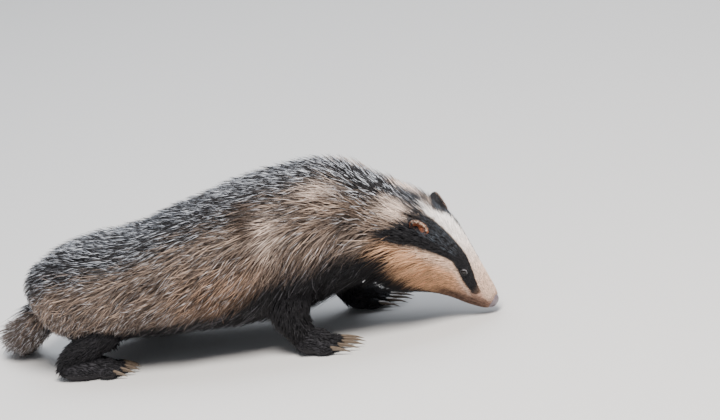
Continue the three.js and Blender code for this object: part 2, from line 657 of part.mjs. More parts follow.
// The trunk and the tail. Each node takes the part of the core between its cuts and the locks that root in
// it. Its locks leave room for legs, ears and the core behind it, and it leaves room for the locks that
// hang over it.
const tailCore = (grow) => tube(TAIL_STOPS, 8, 10, grow);
const wholeCore = joined([core, tailCore(0)]);
const wholeCoreRoom = joined([coreRoom, tailCore(GAP)]);
const planes = {
  tail: { normal: TAIL_LINE, offset: TAIL_LINE.dot(TAIL_CUT_AT) },
  torso: planeAt(CUTS.torso),
  neck: planeAt(CUTS.neck),
  head: planeAt(CUTS.head),
};
const locks = {
  head: locksBetween(CUTS.head, HEAD_ROWS_FROM, LOCK_SIZE.head),
  neck: locksBetween(CUTS.neck, CUTS.head, LOCK_SIZE.neck),
  torso: locksBetween(CUTS.torso, CUTS.neck, LOCK_SIZE.torso),
  rump: locksBetween(RUMP_ROWS_TO, CUTS.torso, LOCK_SIZE.rump),
  tail: tailLocks(),
};
const trunkNodes = [
  { name: "head", back: planes.head },
  { name: "neck", front: planes.head, back: planes.neck },
  { name: "torso", front: planes.neck, back: planes.torso },
  { name: "rump", front: planes.torso, back: planes.tail },
  { name: "tail", front: planes.tail },
];
const limbRooms = joined([...legRooms, ...earRooms]);
const trunk = {};
let hanging = joined([]);
for (const { name, front, back } of trunkNodes) {
  let coat = joined(locks[name].map((lock) => solidLock(lock))).subtract(limbRooms);
  let body = wholeCore;
  if (back) {
    coat = coat.subtract(behind(wholeCoreRoom, back));
    body = ahead(body, back);
  }
  body = body.add(coat);
  if (front) body = behind(body, front);
  trunk[name] = body.subtract(hanging);
  hanging = joined(locks[name].map((lock) => solidLock(lock, GAP)));
}
for (const name of ["tail", "rump", "torso", "neck"]) add(name, trunk[name], "coat");

// The head, with lids, eye sockets and the line of the mouth.
const sockets = sideNames.flatMap((side) => [eyeBall(side, GAP), lidOpening(side)]);
const lidded = trunk.head.add(joined(sideNames.map(lidBulge)));
const head = lidded.subtract(joined(sockets)).subtract(mouthSlit());
add("head", head, "face");
for (const side of sideNames) add("eye_" + side, eyeBall(side), "eye");
add("nose", nosePad().subtract(coreRoom), "nose");

// The origin under the middle of the whole animal, on the floor.
const box = new THREE.Box3().setFromObject(badger);
badger.position.set(-(box.min.x + box.max.x) / 2, -(box.min.y + box.max.y) / 2, 0);

export default badger;
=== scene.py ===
import math

import bpy
import numpy as np
from mathutils import Matrix, Vector


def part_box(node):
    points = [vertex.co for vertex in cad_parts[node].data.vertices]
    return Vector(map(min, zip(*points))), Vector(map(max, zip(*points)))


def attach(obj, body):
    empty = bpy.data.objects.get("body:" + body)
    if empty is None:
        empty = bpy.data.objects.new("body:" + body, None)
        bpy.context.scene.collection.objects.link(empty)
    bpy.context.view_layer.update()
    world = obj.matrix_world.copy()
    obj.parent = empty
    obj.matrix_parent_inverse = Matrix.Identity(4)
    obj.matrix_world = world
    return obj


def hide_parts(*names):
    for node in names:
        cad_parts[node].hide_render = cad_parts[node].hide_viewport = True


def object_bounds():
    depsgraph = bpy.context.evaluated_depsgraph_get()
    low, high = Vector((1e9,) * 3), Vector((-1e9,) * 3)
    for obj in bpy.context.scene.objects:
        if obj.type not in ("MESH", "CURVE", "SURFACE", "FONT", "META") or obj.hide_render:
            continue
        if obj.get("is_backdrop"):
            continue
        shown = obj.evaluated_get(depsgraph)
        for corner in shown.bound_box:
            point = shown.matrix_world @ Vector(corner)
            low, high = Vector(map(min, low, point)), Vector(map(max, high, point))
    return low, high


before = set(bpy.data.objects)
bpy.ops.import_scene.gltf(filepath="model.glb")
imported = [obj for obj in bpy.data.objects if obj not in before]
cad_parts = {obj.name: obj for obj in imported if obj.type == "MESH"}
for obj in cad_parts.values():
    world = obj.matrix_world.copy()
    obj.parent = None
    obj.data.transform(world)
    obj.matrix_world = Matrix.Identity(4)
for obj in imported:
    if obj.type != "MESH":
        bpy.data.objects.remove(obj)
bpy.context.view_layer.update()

# Hide
# One closed skin over the whole animal, of tanned hide with short down, grown together from trunk, tail,
# legs and paws. It lies about a third of the coat's depth up. Measures are millimetres, x towards the snout.
HEAD_PITCH = math.radians(43)
HEAD_ROLL = math.radians(8)
NOSE_TIP = np.array([347.0, 0.0, 14.0])
LEFT = np.array([0.0, 1.0, 0.0])
FORWARD = np.array([math.cos(HEAD_PITCH), 0.0, -math.sin(HEAD_PITCH)])
LEVEL_UP = np.array([math.sin(HEAD_PITCH), 0.0, math.cos(HEAD_PITCH)])
SIDEWAYS = LEFT * math.cos(HEAD_ROLL) + LEVEL_UP * math.sin(HEAD_ROLL)
UPWARD = LEVEL_UP * math.cos(HEAD_ROLL) - LEFT * math.sin(HEAD_ROLL)
EYE = {"behind": 50.8, "height": 17.9, "out": 18.4, "radius": 4.9}


def on_head(behind, height, left=0.0):
    """The nose tip, less `behind` along the head's axis, plus `height` to the crown and `left` sideways."""
    behind, height, left = (np.asarray(value, float)[..., None] for value in (behind, height, left))
    return NOSE_TIP - FORWARD * behind + UPWARD * height + SIDEWAYS * left


# the body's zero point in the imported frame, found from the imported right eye
eye_low, eye_high = (np.array(corner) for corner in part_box("eye_right"))
ORIGIN = (eye_low + eye_high) / 2 - on_head(EYE["behind"], EYE["height"], -EYE["out"]) / 1000

# Each station: x, z and lean, then the skin above, below and half its width, then the coat's depth on the
# back, side and belly. A row of the head has its distance behind the nose tip in place of x, z and lean.
BODY_ROWS = [
    [-212, 62, -42, 14, 13, 15, 13, 13, 10],
    [-194, 69, -30, 35, 28, 50, 23, 23, 15],
    [-152, 78, -17, 43, 37, 80, 24, 24, 15],
    [-88, 86, -8, 43, 43, 91, 24, 24, 16],
    [-20, 95, 0, 56, 51, 96, 24, 24, 16],
    [45, 103, 0, 66.5, 59, 96, 24, 24, 16],
    [105, 110, 4, 72, 62, 91, 24, 23, 16],
    [155, 116, 9, 70, 56, 80, 24, 22, 16],
    [196, 122, 17, 50, 45, 62, 18, 22, 17],
    [226, 117, 28, 41, 44, 53, 14, 21, 18],
]
HEAD_ROWS = [
    [136, 42, 47, 50, 11, 18, 16],
    [117, 45, 44, 47, 8, 14, 14],
    [94, 43.5, 39, 42, 6, 10, 11],
    [69, 36.5, 30.5, 32.5, 4, 4, 5],
    [48, 27.5, 25, 23.5, 3, 2.5, 3],
    [28, 17.5, 21.5, 18.5, 2, 1.5, 2],
    [12, 9, 17, 14.5, 1, 1, 1],
    [4, 3, 14, 10, 0.5, 0.5, 0.5],
]
for behind, *sizes in HEAD_ROWS:
    centre = NOSE_TIP - FORWARD * behind
    BODY_ROWS.append([centre[0], centre[2], math.degrees(HEAD_PITCH), *sizes])
STATIONS = np.array(BODY_ROWS, float)
WITHERS = 7
EARS = 11
TAIL_LINE = np.array([0.88, 0.0, 0.47]) / math.hypot(0.88, 0.47)
TAIL_STEP = 24
SKIN_SHARE = 0.35


def smooth(low, high, value):
    """0 below `low`, 1 above `high`, and 3t^2 - 2t^3 between them."""
    t = np.clip((value - low) / (high - low), 0, 1)
    return t * t * (3 - 2 * t)


def spline(values, u):
    """Uniform Catmull-Rom: a cubic through equally spaced values, whose slope at each is half of the step
    between its neighbours."""
    values = np.asarray(values, float)
    last = len(values) - 1
    i = np.clip(np.floor(u).astype(int), 0, last - 1)
    t = np.clip(u - i, 0, 1)
    if values.ndim > 1:
        t = t[..., None]
    a, b, c, d = (values[np.clip(i + k, 0, last)] for k in (-1, 0, 1, 2))
    return 0.5 * (2 * b + (c - a) * t + (2 * a - 5 * b + 4 * c - d) * t**2 + (3 * b - a - 3 * c + d) * t**3)


def along(table, u):
    """A value that is given at some stations, as {station: value}, by straight lines between them."""
    return np.interp(u, list(table), list(table.values()))


def widths_off(value, middle, width, power=2):
    """How many widths a value lies off a patch's middle, to the given power."""
    return ((value - middle) / width) ** power


def unit(v):
    """A vector over its own length."""
    return v / np.maximum(np.linalg.norm(v, axis=-1, keepdims=True), 1e-9)


def trunk_point(u, angle, share):
    """A point of the trunk: the section at station u is a rounded rectangle whose half axes are the skin's
    sizes plus `share` of the coat's depth. It is rolled with the head, leaned forward, and set on its
    centre. Below station 0 a point runs on along the tail's line."""
    u, angle, share = np.broadcast_arrays(np.asarray(u, float), angle, share)
    at = np.maximum(u, 0)
    x, z, lean, up, down, half, top, side, low = np.moveaxis(spline(STATIONS, at), -1, 0)
    cosine, sine = np.cos(angle), np.sin(angle)
    reach = np.where(cosine > 0, up + share * top, down + share * low)
    crown = reach * np.sign(cosine) * np.abs(cosine) ** 0.9
    left = (half + share * side) * np.sign(sine) * np.abs(sine) ** 0.9
    roll = HEAD_ROLL * smooth(WITHERS, EARS, at)
    height = crown * np.cos(roll) + left * np.sin(roll)
    y = left * np.cos(roll) - crown * np.sin(roll)
    tilt = np.radians(lean)
    point = np.stack([x + np.sin(tilt) * height, y, z + np.cos(tilt) * height], -1)
    return point + TAIL_LINE * (TAIL_STEP * np.minimum(u, 0))[..., None]


def trunk_outward(u, angle, share):
    """The outward normal: the step along the body crossed with the step round it."""
    forwards = trunk_point(u + 0.04, angle, share) - trunk_point(u - 0.04, angle, share)
    around = trunk_point(u, angle + 0.02, share) - trunk_point(u, angle - 0.02, share)
    return unit(np.cross(forwards, around))


def eye_frame(side):
    """An eye's centre, the way it faces, the line of its corners and the line across that."""
    facing = unit(SIDEWAYS * side * 0.88 + FORWARD * 0.38 + UPWARD * 0.28)
    corners = unit(FORWARD - facing * (FORWARD @ facing))
    upper = np.cross(facing, corners)
    centre = on_head(EYE["behind"], EYE["height"], side * EYE["out"])
    return centre, facing, corners, upper * np.sign(upper @ UPWARD)


LIPS = {"level": -12.5, "rise": 1.5, "wave": 2.2, "length": 59, "groove": 1.5, "swell": 0.5}
FOLDS = {"behind": 20, "spread": 9, "depth": 0.2}
LID = {"front": 4.3, "back": 4.5, "above": 3.5, "below": 3.1, "dome": 1.0, "corner": 5.2}


def lid_reach(a, above):
    """Half the height of the opening between the lids at `a` along the line of the corners: a parabola that
    falls to nothing at the corners, taller for the upper lid."""
    length = np.where(a > 0, LID["front"], LID["back"])
    height = np.where(above, LID["above"], LID["below"])
    return height * np.maximum(1 - np.abs(a / length) ** 2.2, 0)


def face_shaped(points):
    """Skin points pushed along their distance from the head's axis: in for the mouth's groove, out for the
    lips beside it, in and out for folds on the muzzle. Round each eye they are raised to a dome, and in the
    opening of the lids they are set back behind the eyeball's front."""
    from_tip = points - NOSE_TIP
    behind, height, left = -from_tip @ FORWARD, from_tip @ UPWARD, from_tip @ SIDEWAYS
    radial = unit(UPWARD * height[..., None] + SIDEWAYS * left[..., None])
    near = smooth(60, 46, behind) * smooth(-8, -2, behind)
    t = np.clip((behind + 7) / LIPS["length"], 0, 1)
    line = height - (LIPS["level"] + LIPS["rise"] * t + LIPS["wave"] * np.sin(2 * np.pi * t))
    lips = LIPS["swell"] * np.exp(-widths_off(line, 2.6, 1.5))
    lips = lips - LIPS["groove"] * np.exp(-widths_off(line, 0, 1.0))
    folds = np.sin(behind * 0.95 + height * 0.35)
    folds = folds * np.exp(-widths_off(behind, FOLDS["behind"], FOLDS["spread"]))
    push = near * lips + FOLDS["depth"] * folds * np.exp(-widths_off(height, 1, 6))
    shaped = points + radial * push[..., None]
    for side in (-1, 1):
        centre, facing, corners, upper = eye_frame(side)
        offset = shaped - centre
        a, b, c = offset @ corners, offset @ upper, offset @ facing
        spread = np.hypot(a, b)
        lids = np.sqrt(np.maximum((EYE["radius"] + LID["dome"]) ** 2 - spread**2, 0))
        skirt = smooth(9.5, 5.0, np.hypot(a / 1.15, b))
        raised = np.maximum(c, (c + (lids - c) * skirt))
        inside = smooth(0.9, 0.1, np.abs(b) - lid_reach(a, b > 0)) * (np.abs(a) < LID["corner"])
        raised = raised + (1.5 - raised) * inside
        mine = (spread < 10) & (c > -4)
        shaped = np.where(mine[..., None], shaped + facing * (raised - c)[..., None], shaped)
    return shaped


def grid(values, columns):
    """Every value along a piece paired with each of so many equal turns round it, as two arrays."""
    return np.meshgrid(values, np.linspace(0, 2 * np.pi, columns, endpoint=False), indexing="ij")


def sheet_faces(rows, columns):
    """Quads of a grid of rows, closed round its columns: each corner joined to the next round and along."""
    i, j = np.meshgrid(np.arange(rows - 1), np.arange(columns), indexing="ij")
    k = (j + 1) % columns
    here, later = i * columns, (i + 1) * columns
    return np.stack([here + j, here + k, later + k, later + j], -1).reshape(-1, 4)


END_RINGS = (0.66, 0.33, 0.02)


def closed_loft(rings):
    """Points, quads and end faces of a surface through rings, with each end drawn in to its middle by three
    smaller rings."""
    rows, columns, _ = rings.shape
    ends = []
    for ring in (rings[0], rings[-1]):
        middle = ring.mean(0)
        ends.append([middle + (ring - middle) * size for size in END_RINGS])
    stack = np.concatenate([np.array(ends[0][::-1]), rings, np.array(ends[1])])
    faces = sheet_faces(len(stack), columns)
    cap = np.arange(columns)
    return stack.reshape(-1, 3), faces, [list(cap[::-1]), list(cap + (len(stack) - 1) * columns)]


def with_ends(rows):
    """Values of a loft's rows, with the first and last row repeated for the smaller rings of its ends."""
    extra = len(END_RINGS)
    return np.concatenate([rows[:1]] * extra + [rows] + [rows[-1:]] * extra)


def mesh_object(name, points, faces, extra=()):
    """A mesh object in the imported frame: points in millimetres are divided by 1000 and moved by ORIGIN."""
    mesh = bpy.data.meshes.new(name)
    placed = np.asarray(points, float) / 1000 + ORIGIN
    faces = np.asarray(faces)
    loops = np.concatenate([faces.ravel(), *[np.array(face) for face in extra]]).astype(np.int32)
    sizes = np.concatenate([np.full(len(faces), faces.shape[1]), [len(face) for face in extra]])
    sizes = sizes.astype(np.int32)
    mesh.vertices.add(len(placed))
    mesh.vertices.foreach_set("co", placed.astype(np.float32).ravel())
    mesh.loops.add(len(loops))
    mesh.loops.foreach_set("vertex_index", loops)
    mesh.polygons.add(len(sizes))
    starts = np.concatenate([[0], np.cumsum(sizes)[:-1]]).astype(np.int32)
    mesh.polygons.foreach_set("loop_start", starts)
    mesh.polygons.foreach_set("loop_total", sizes)
    mesh.polygons.foreach_set("use_smooth", np.ones(len(sizes), bool))
    mesh.update(calc_edges=True)
    made = bpy.data.objects.new(name, mesh)
    bpy.context.scene.collection.objects.link(made)
    return made


def paint(made, name, colours, fourth=0.0):
    """A colour for each vertex, kept as an attribute of the mesh: red, green, blue and a fourth value."""
    fourth = np.broadcast_to(fourth, colours.shape[:-1])[..., None]
    values = np.ascontiguousarray(np.concatenate([colours, fourth], -1), np.float32)
    layer = made.data.attributes.new(name, "FLOAT_COLOR", "POINT")
    layer.data.foreach_set("color", values.ravel())


# Edges of the markings in degrees from the crown, at stations of the body: the white blaze on the right and
# on the left, the black stripe's upper and lower edge, the belly's black and the back's slate.
BLAZE = {9.9: 0, 10.15: 7, 10.5: 10, 11: 10, 12: 12, 13: 14, 13.5: 16, 14: 25, 14.5: 38, 15: 54, 15.4: 64,
         16: 80, 17: 95}
BLAZE_FAR = {9.9: 0, 10.3: 3, 11: 5, 11.3: 9, 11.6: 17, 12: 24, 13: 27, 13.5: 27, 14: 31, 14.5: 40, 15: 54,
             15.4: 64, 16: 80, 17: 95}
STRIPE_TOP = {8.7: 76, 9.04: 67, 9.4: 57, 9.76: 42, 10.1: 25, 10.4: 10.5}
STRIPE_LOW = {8.7: 76, 9.15: 77, 9.4: 76, 9.8: 75, 10.2: 72, 10.6: 68, 11: 64, 11.5: 60, 12: 56.5,
              12.7: 52, 13.1: 51, 13.4: 56, 13.75: 64, 14.1: 72, 14.4: 78, 14.7: 83, 15: 90, 15.25: 86,
              15.45: 66, 15.6: 54}
BELLY_EDGE = {0: 116, 5: 116, 5.6: 106, 6: 93, 6.5: 88, 7: 89, 8: 90, 9: 85, 9.6: 84, 10.2: 87, 11: 96,
              12: 110, 13: 132, 15: 150, 17: 176}
DORSAL_EDGE = {0: 46, 3: 42, 5: 35, 6.2: 27, 7.3: 17, 8: 20, 9: 18, 9.6: 12}
WHITE = np.array([0.97, 0.90, 0.85])
IVORY = np.array([1.0, 0.80, 0.67])
CREAM = np.array([0.86, 0.65, 0.51])
BUFF = np.array([0.84, 0.49, 0.28])
MUZZLE_TAN = np.array([0.60, 0.37, 0.27])
BLACK = np.array([0.014, 0.013, 0.015])
FLANK = np.array([0.45, 0.325, 0.25])
WARM = np.array([0.44, 0.26, 0.16])
PEACH = np.array([0.90, 0.72, 0.61])
SLATE = np.array([0.040, 0.046, 0.058])
# a dark brown for the chin and mouth line, also used as painted shade under the muzzle and at its tip
CHIN_AND_SHADE = np.array([0.15, 0.085, 0.06])
UMBER = np.array([0.060, 0.036, 0.024])


def mixed(a, b, share):
    """a where share is 0 and b where it is 1."""
    return a + (b - a) * np.asarray(share)[..., None]


def markings(u, angle):
    """The coat's colour at a station and an angle, and how far its hairs are banded dark with pale tips. The
    colours are laid one over the other. An edge is a smooth step over some degrees, and a patch is e to the
    minus of the widths that a place lies off its middle, along the body and round it."""
    u, angle = np.broadcast_arrays(np.asarray(u, float), angle)
    turn = np.degrees(np.arctan2(np.sin(angle), np.cos(angle)))
    off = np.abs(turn)
    # the body: buff flanks, warmer low down behind, slate on the back, black below
    warm = smooth(66, 100, off) * smooth(7.4, 5.6, u) * smooth(3.6, 5.0, u)
    colour = mixed(FLANK, WARM, 0.75 * warm)
    edge = along(DORSAL_EDGE, u)
    back = 1 - smooth(edge - 16, edge + 26, off)
    colour = mixed(colour, SLATE, 0.95 * back)
    banded = 0.5 + 0.5 * back
    light = np.exp(-widths_off(u, 6.26, 0.25) - widths_off(off, 66, 21))
    pale = np.exp(-widths_off(u, 7.35, 0.5) - widths_off(off, 32, 10))
    colour = mixed(mixed(colour, PEACH, 0.85 * light), PEACH, 0.95 * pale)
    dusk = np.exp(-widths_off(u, 5.82, 0.21, 4) - widths_off(off, 46, 18, 4))
    shoulder = np.exp(-widths_off(u, 8.3, 0.5) - widths_off(off, 50, 16))
    colour = mixed(colour, UMBER, np.maximum(0.95 * dusk, 0.78 * shoulder))
    banded = banded * (1 - 0.7 * np.maximum(np.maximum(light, dusk), pale))
    low = along(BELLY_EDGE, u)
    under = smooth(low - 9, low + 10, off)
    colour = mixed(colour, BLACK, under)
    banded = banded * (1 - 0.85 * under)
    # the neck: a cream patch behind the ear, a dark collar over the nape, a buff throat
    throat = smooth(8.9, 9.5, u) * smooth(64, 76, off) * (1 - under)
    colour = mixed(colour, BUFF, throat)
    patch = np.exp(-widths_off(u, 9.28, 0.46, 4) - widths_off(off, 27, 15, 4))
    colour = mixed(colour, IVORY, patch)
    collar = np.exp(-widths_off(u, 9.95, 0.18, 4)) * smooth(52, 40, off)
    collar = collar + 0.9 * smooth(8.9, 9.4, u) * smooth(14, 8, off)
    collar = np.clip(collar, 0, 1) * smooth(10.5, 10.2, u)
    colour = mixed(colour, SLATE * 0.5, 0.9 * collar)
    banded = banded * (1 - np.maximum(0.95 * patch, 0.8 * throat)) * (1 - 0.6 * collar)
    # the head: buff cheeks, white blaze, black stripe through ear and eye, tan muzzle, painted shade below
    head = smooth(10.0, 10.6, u)
    cheek = mixed(mixed(BUFF, CREAM, smooth(78, 60, off) * 0.8), MUZZLE_TAN, smooth(13.4, 15.0, u))
    # a darker chin and mouth line, with painted shade on the muzzle's underside and lower side
    chin_and_shade = smooth(98, 112, off) * smooth(12.8, 13.6, u)
    chin_and_shade = chin_and_shade + 0.55 * smooth(14.4, 15.0, u) * smooth(82, 94, off)
    face = mixed(mixed(cheek, BLACK, under), CHIN_AND_SHADE, 0.85 * np.clip(chin_and_shade, 0, 1))
    tan = mixed(WHITE, mixed(CREAM, MUZZLE_TAN, 0.4), smooth(11.8, 15.4, u))
    blaze = np.where(turn > 0, along(BLAZE_FAR, u), along(BLAZE, u))
    faint = 1.5 + 14 * smooth(14.7, 16.0, u)
    on_blaze = (1 - smooth(blaze - faint, blaze + faint, off)) * smooth(9.95, 10.15, u)
    face = mixed(face, tan, on_blaze)
    colour = mixed(colour, face, head)
    colour = mixed(colour, WHITE, on_blaze * (1 - head))
    top = np.maximum(along(STRIPE_TOP, u) * (u < 10.4), blaze * (u >= 10.4))
    bottom = along(STRIPE_LOW, u)
    soft = 2.5 + 2.5 * smooth(12.5, 11, u)
    stripe = smooth(top - 2, top + 2, off) * (1 - smooth(bottom - soft, bottom + soft, off))
    stripe = stripe * smooth(8.8, 9.3, u) * (1 - smooth(15.3, 15.6, u))
    fade = smooth(14.8, 15.6, u)
    colour = mixed(colour, mixed(BLACK, UMBER * 1.5, fade), stripe * (1 - 0.25 * fade))
    banded = banded * (1 - head) * (1 - stripe)
    pale_edge = np.exp(-widths_off(off - bottom, 7, 5)) * smooth(13.3, 13.9, u) * smooth(15.2, 14.6, u)
    colour = mixed(colour, CREAM * 1.12, 0.7 * pale_edge)
    # painted shade all round the end of the snout, for the shading of the mouth under the nose
    colour = mixed(colour, CHIN_AND_SHADE * 2.2, smooth(16.1, 16.9, u) * 0.6)
    return colour, banded


def fill(made, **values):
    """A node with its properties set, and its inputs where a key is in_ and the input's name or number."""
    for key, value in values.items():
        if key.startswith("in_"):
            slot = key[3:]
            made.inputs[int(slot) if slot.isdigit() else slot.replace("_", " ")].default_value = value
        else:
            setattr(made, key, value)
    return made


def node(tree, kind, **values):
    """A new node of a tree with its values."""
    return fill(tree.nodes.new(kind), **values)


def wire(tree, *pairs):
    """Links in a tree, each as a node, its output, the next node and its input."""
    for source, output, target, slot in pairs:
        tree.links.new(source.outputs[output], target.inputs[slot])


def material(name, **values):
    """A material, its node tree and its Principled shader, which has the values."""
    made = bpy.data.materials.new(name)
    made.use_nodes = True
    return made, made.node_tree, fill(made.node_tree.nodes["Principled BSDF"], **values)


def group(name, inputs, outputs):
    """A shader node group with inputs, as {name: value}, and outputs, as {name: kind of socket}."""
    tree = bpy.data.node_groups.new(name, "ShaderNodeTree")
    for label, value in inputs.items():
        kind = "NodeSocketFloat" if isinstance(value, float) else "NodeSocketColor"
        tree.interface.new_socket(label, in_out="INPUT", socket_type=kind).default_value = value
    for label, kind in outputs.items():
        tree.interface.new_socket(label, in_out="OUTPUT", socket_type=kind)
    return tree, tree.nodes.new("NodeGroupInput"), tree.nodes.new("NodeGroupOutput")


# short down: fine flecks of light and shade, drawn out along the body, with a height for bump
down, given, result = group("short_down", {"Colour": (0.5, 0.5, 0.5, 1), "Fineness": 900.0, "Depth": 0.35},
                            {"Colour": "NodeSocketColor", "Height": "NodeSocketFloat"})
where = node(down, "ShaderNodeTexCoord")
lie = node(down, "ShaderNodeMapping", in_Rotation=(0, math.radians(-20), 0), in_Scale=(0.28, 1.0, 1.0))
fleck = node(down, "ShaderNodeTexNoise", in_Detail=3.0, in_Roughness=0.6)
broad = node(down, "ShaderNodeTexNoise", in_Scale=70.0, in_Detail=2.0)
shade = node(down, "ShaderNodeMapRange", in_1=0.3, in_2=0.7, in_3=0.62, in_4=1.3)
cloud = node(down, "ShaderNodeMapRange", in_1=0.3, in_2=0.7, in_3=0.85, in_4=1.12)
product = node(down, "ShaderNodeMath", operation="MULTIPLY")
tint = node(down, "ShaderNodeVectorMath", operation="SCALE")
deep = node(down, "ShaderNodeMath", operation="MULTIPLY")
wire(down, (where, "Object", lie, "Vector"), (lie, 0, fleck, "Vector"), (given, "Fineness", fleck, "Scale"),
     (where, "Object", broad, "Vector"), (fleck, "Fac", shade, 0), (broad, "Fac", cloud, 0),
     (shade, 0, product, 0), (cloud, 0, product, 1), (given, "Colour", tint, 0),
     (product, 0, tint, "Scale"), (tint, 0, result, "Colour"), (fleck, "Fac", deep, 0),
     (given, "Depth", deep, 1), (deep, 0, result, "Height"))


def down_material(name, roughness, fineness=900.0, relief=0.0008):
    """Hide or bare skin: the pelt attribute's colour through the short down, with its height as bump."""
    made, tree, shader = material(name, in_Roughness=roughness, in_Specular_IOR_Level=0.25)
    pelt = node(tree, "ShaderNodeAttribute", attribute_name="pelt")
    short = node(tree, "ShaderNodeGroup", node_tree=down, in_Fineness=fineness)
    bump = node(tree, "ShaderNodeBump", in_Strength=0.6, in_Distance=relief)
    wire(tree, (pelt, "Color", short, "Colour"), (short, "Colour", shader, "Base Color"),
         (short, "Height", bump, "Height"), (bump, 0, shader, "Normal"))
    return made


hide = down_material("hide and down", 0.78)

# the trunk and head: rings close together on the face, where the lids and lips are
rings_u = np.concatenate([np.arange(0, 10, 0.1), np.arange(10, 13, 0.06), np.arange(13, 17.0001, 0.025)])
grid_u, grid_angle = grid(rings_u, 192)
skin = mesh_object("skin", *closed_loft(face_shaped(trunk_point(grid_u, grid_angle, SKIN_SHARE))[::-1]))
skin_u = with_ends(grid_u[::-1])
skin_colour, skin_banded = markings(skin_u, with_ends(grid_angle))
# painted shade: the hide takes the coat's colours darkened, to 0.45 of them under the long coat of body and
# neck and 0.72 on the head, for the shade deep between the hairs
skin_colour = skin_colour * mixed(np.full(3, 0.72), np.full(3, 0.45), smooth(10, 8, skin_u))
paint(skin, "pelt", skin_colour, skin_banded)

# The tail, a drooping taper, and the legs of the left side. A stop of a tube is a place, half a width and
# half a depth. A palm is a middle and three radii. The right side is mirrored, and each leg has its stride.
TAIL_STOPS = np.array([[-204, 0, 64, 17, 17], [-223, 3, 54, 17, 16], [-242, 10, 42, 16, 15],
                       [-257, 21, 32, 13, 13], [-268, 34, 26, 8, 8]], float)
LEG_STOPS = {
    "foreleg": [[[140, 52, 100, 26, 32], [120, 66, 76, 24, 29], [117, 76, 52, 20, 23], [124, 79, 34, 17, 18],
                 [132, 80, 16, 15, 16]]],
    "hindleg": [[[-150, 50, 72, 28, 34], [-122, 66, 60, 25, 29], [-100, 79, 48, 19, 20]],
                [[-98, 80, 54, 19, 19], [-128, 84, 39, 19, 19], [-156, 84, 25, 15, 14],
                 [-164, 84, 14, 13, 12]]],
}
STRIDE = {"foreleg": {-1: 0, 1: 12}, "hindleg": {-1: -8, 1: 22}}
PALM = {"foreleg": ([142, 81, 12], [23, 22, 16]), "hindleg": ([-136, 85, 10], [38, 20, 16])}
TOE = {"foreleg": {"radii": [6.2, 7.5, 14], "height": 6.7, "fan": 9.4, "reach": 23, "curve": 1.9},
       "hindleg": {"radii": [5.8, 7, 13], "height": 6.2, "fan": 8.6, "reach": 37, "curve": 1.9}}
TOES = 5
TOE_UP = np.array([0.0, 0.0, 1.0])
SIDE_NAMES = {-1: "right", 1: "left"}
LEG_FUR = 3.5
TAIL_FUR = 3.0
PALM_FUR = 1.5
TOE_FUR = 0.8


def tube_frame(stops, t):
    """Centre, the way along, across and upright, half width and half depth of a tube at t from 0 to 1."""
    span = len(stops) - 1
    values = spline(stops, t * span)
    later = spline(stops, np.minimum(t + 0.02, 1) * span)
    sooner = spline(stops, np.maximum(t - 0.02, 0) * span)
    ahead = unit(later[..., :3] - sooner[..., :3])
    across = unit(LEFT - ahead * ahead[..., 1:2])
    return values[..., :3], ahead, across, np.cross(ahead, across), values[..., 3], values[..., 4]


def tube_point(stops, t, turn, grow):
    """A point of a tube: an ellipse across the line of its stops, `grow` larger than their sizes."""
    centre, _, across, upright, wide, deep = tube_frame(stops, t)
    return (centre + across * ((wide + grow) * np.cos(turn))[..., None]
            + upright * ((deep + grow) * np.sin(turn))[..., None])


def leg_stops(leg, side):
    """A leg's stops on one side of the animal: the left ones mirrored or kept, and moved by the stride."""
    tubes = []
    for stops in LEG_STOPS[leg]:
        placed = np.array(stops, float)
        placed[:, 0] += STRIDE[leg][side]
        placed[:, 1] *= side
        tubes.append(placed)
    return tubes


def toe_place(leg, side, number):
    """A toe's middle and the way it points: the toes fan out over the front of the palm."""
    toe, palm, step = TOE[leg], PALM[leg][0], number - 2
    front = palm[0] + STRIDE[leg][side] + toe["reach"] - toe["curve"] * step * step
    middle = np.array([front, side * palm[1] + step * toe["fan"], toe["height"]])
    return middle, unit(np.array([1.0, step * 0.09, 0.0]))


def palm_place(leg, side):
    """The middle of a paw's palm."""
    place = PALM[leg][0]
    return np.array([place[0] + STRIDE[leg][side], side * place[1], place[2]], float)


def ball(centre, axes, radii, rows=20, columns=28):
    """An ellipsoid: centre plus each axis times its radius, by the sine and cosine of two angles."""
    v, w = grid(np.linspace(0.02, np.pi - 0.02, rows), columns)
    v, w = v[..., None], w[..., None]
    a, b, c = (np.asarray(axis, float) * radius for axis, radius in zip(axes, radii))
    round_it = a * (np.sin(v) * np.cos(w)), b * (np.sin(v) * np.sin(w))
    return np.asarray(centre, float) + round_it[0] + round_it[1] + c * np.cos(v)


def joined(shapes):
    """Several closed lofts as one list of points, quads and end faces."""
    points, quads, ends, count = [], [], [], 0
    for rings in shapes:
        loft_points, loft_quads, loft_ends = closed_loft(rings)
        points.append(loft_points)
        quads.append(loft_quads + count)
        ends += [[corner + count for corner in face] for face in loft_ends]
        count += len(loft_points)
    return np.concatenate(points), np.concatenate(quads), ends


limb_shapes = []
for leg in LEG_STOPS:
    for side in SIDE_NAMES:
        for stops in leg_stops(leg, side):
            limb_shapes.append(tube_point(stops, *grid(np.linspace(0, 1, 24), 36), -LEG_FUR))
        limb_shapes.append(ball(palm_place(leg, side), np.eye(3), np.array(PALM[leg][1]) - PALM_FUR))
        for number in range(TOES):
            centre, heading = toe_place(leg, side, number)
            axes = [np.cross(TOE_UP, heading), TOE_UP, heading]
            limb_shapes.append(ball(centre, axes, np.array(TOE[leg]["radii"]) - TOE_FUR))
limbs = mesh_object("limbs", *joined(limb_shapes))
tail_shape = tube_point(TAIL_STOPS, *grid(np.linspace(0, 1, 40), 40), -TAIL_FUR)
tail_skin = mesh_object("tail_skin", *joined([tail_shape]))


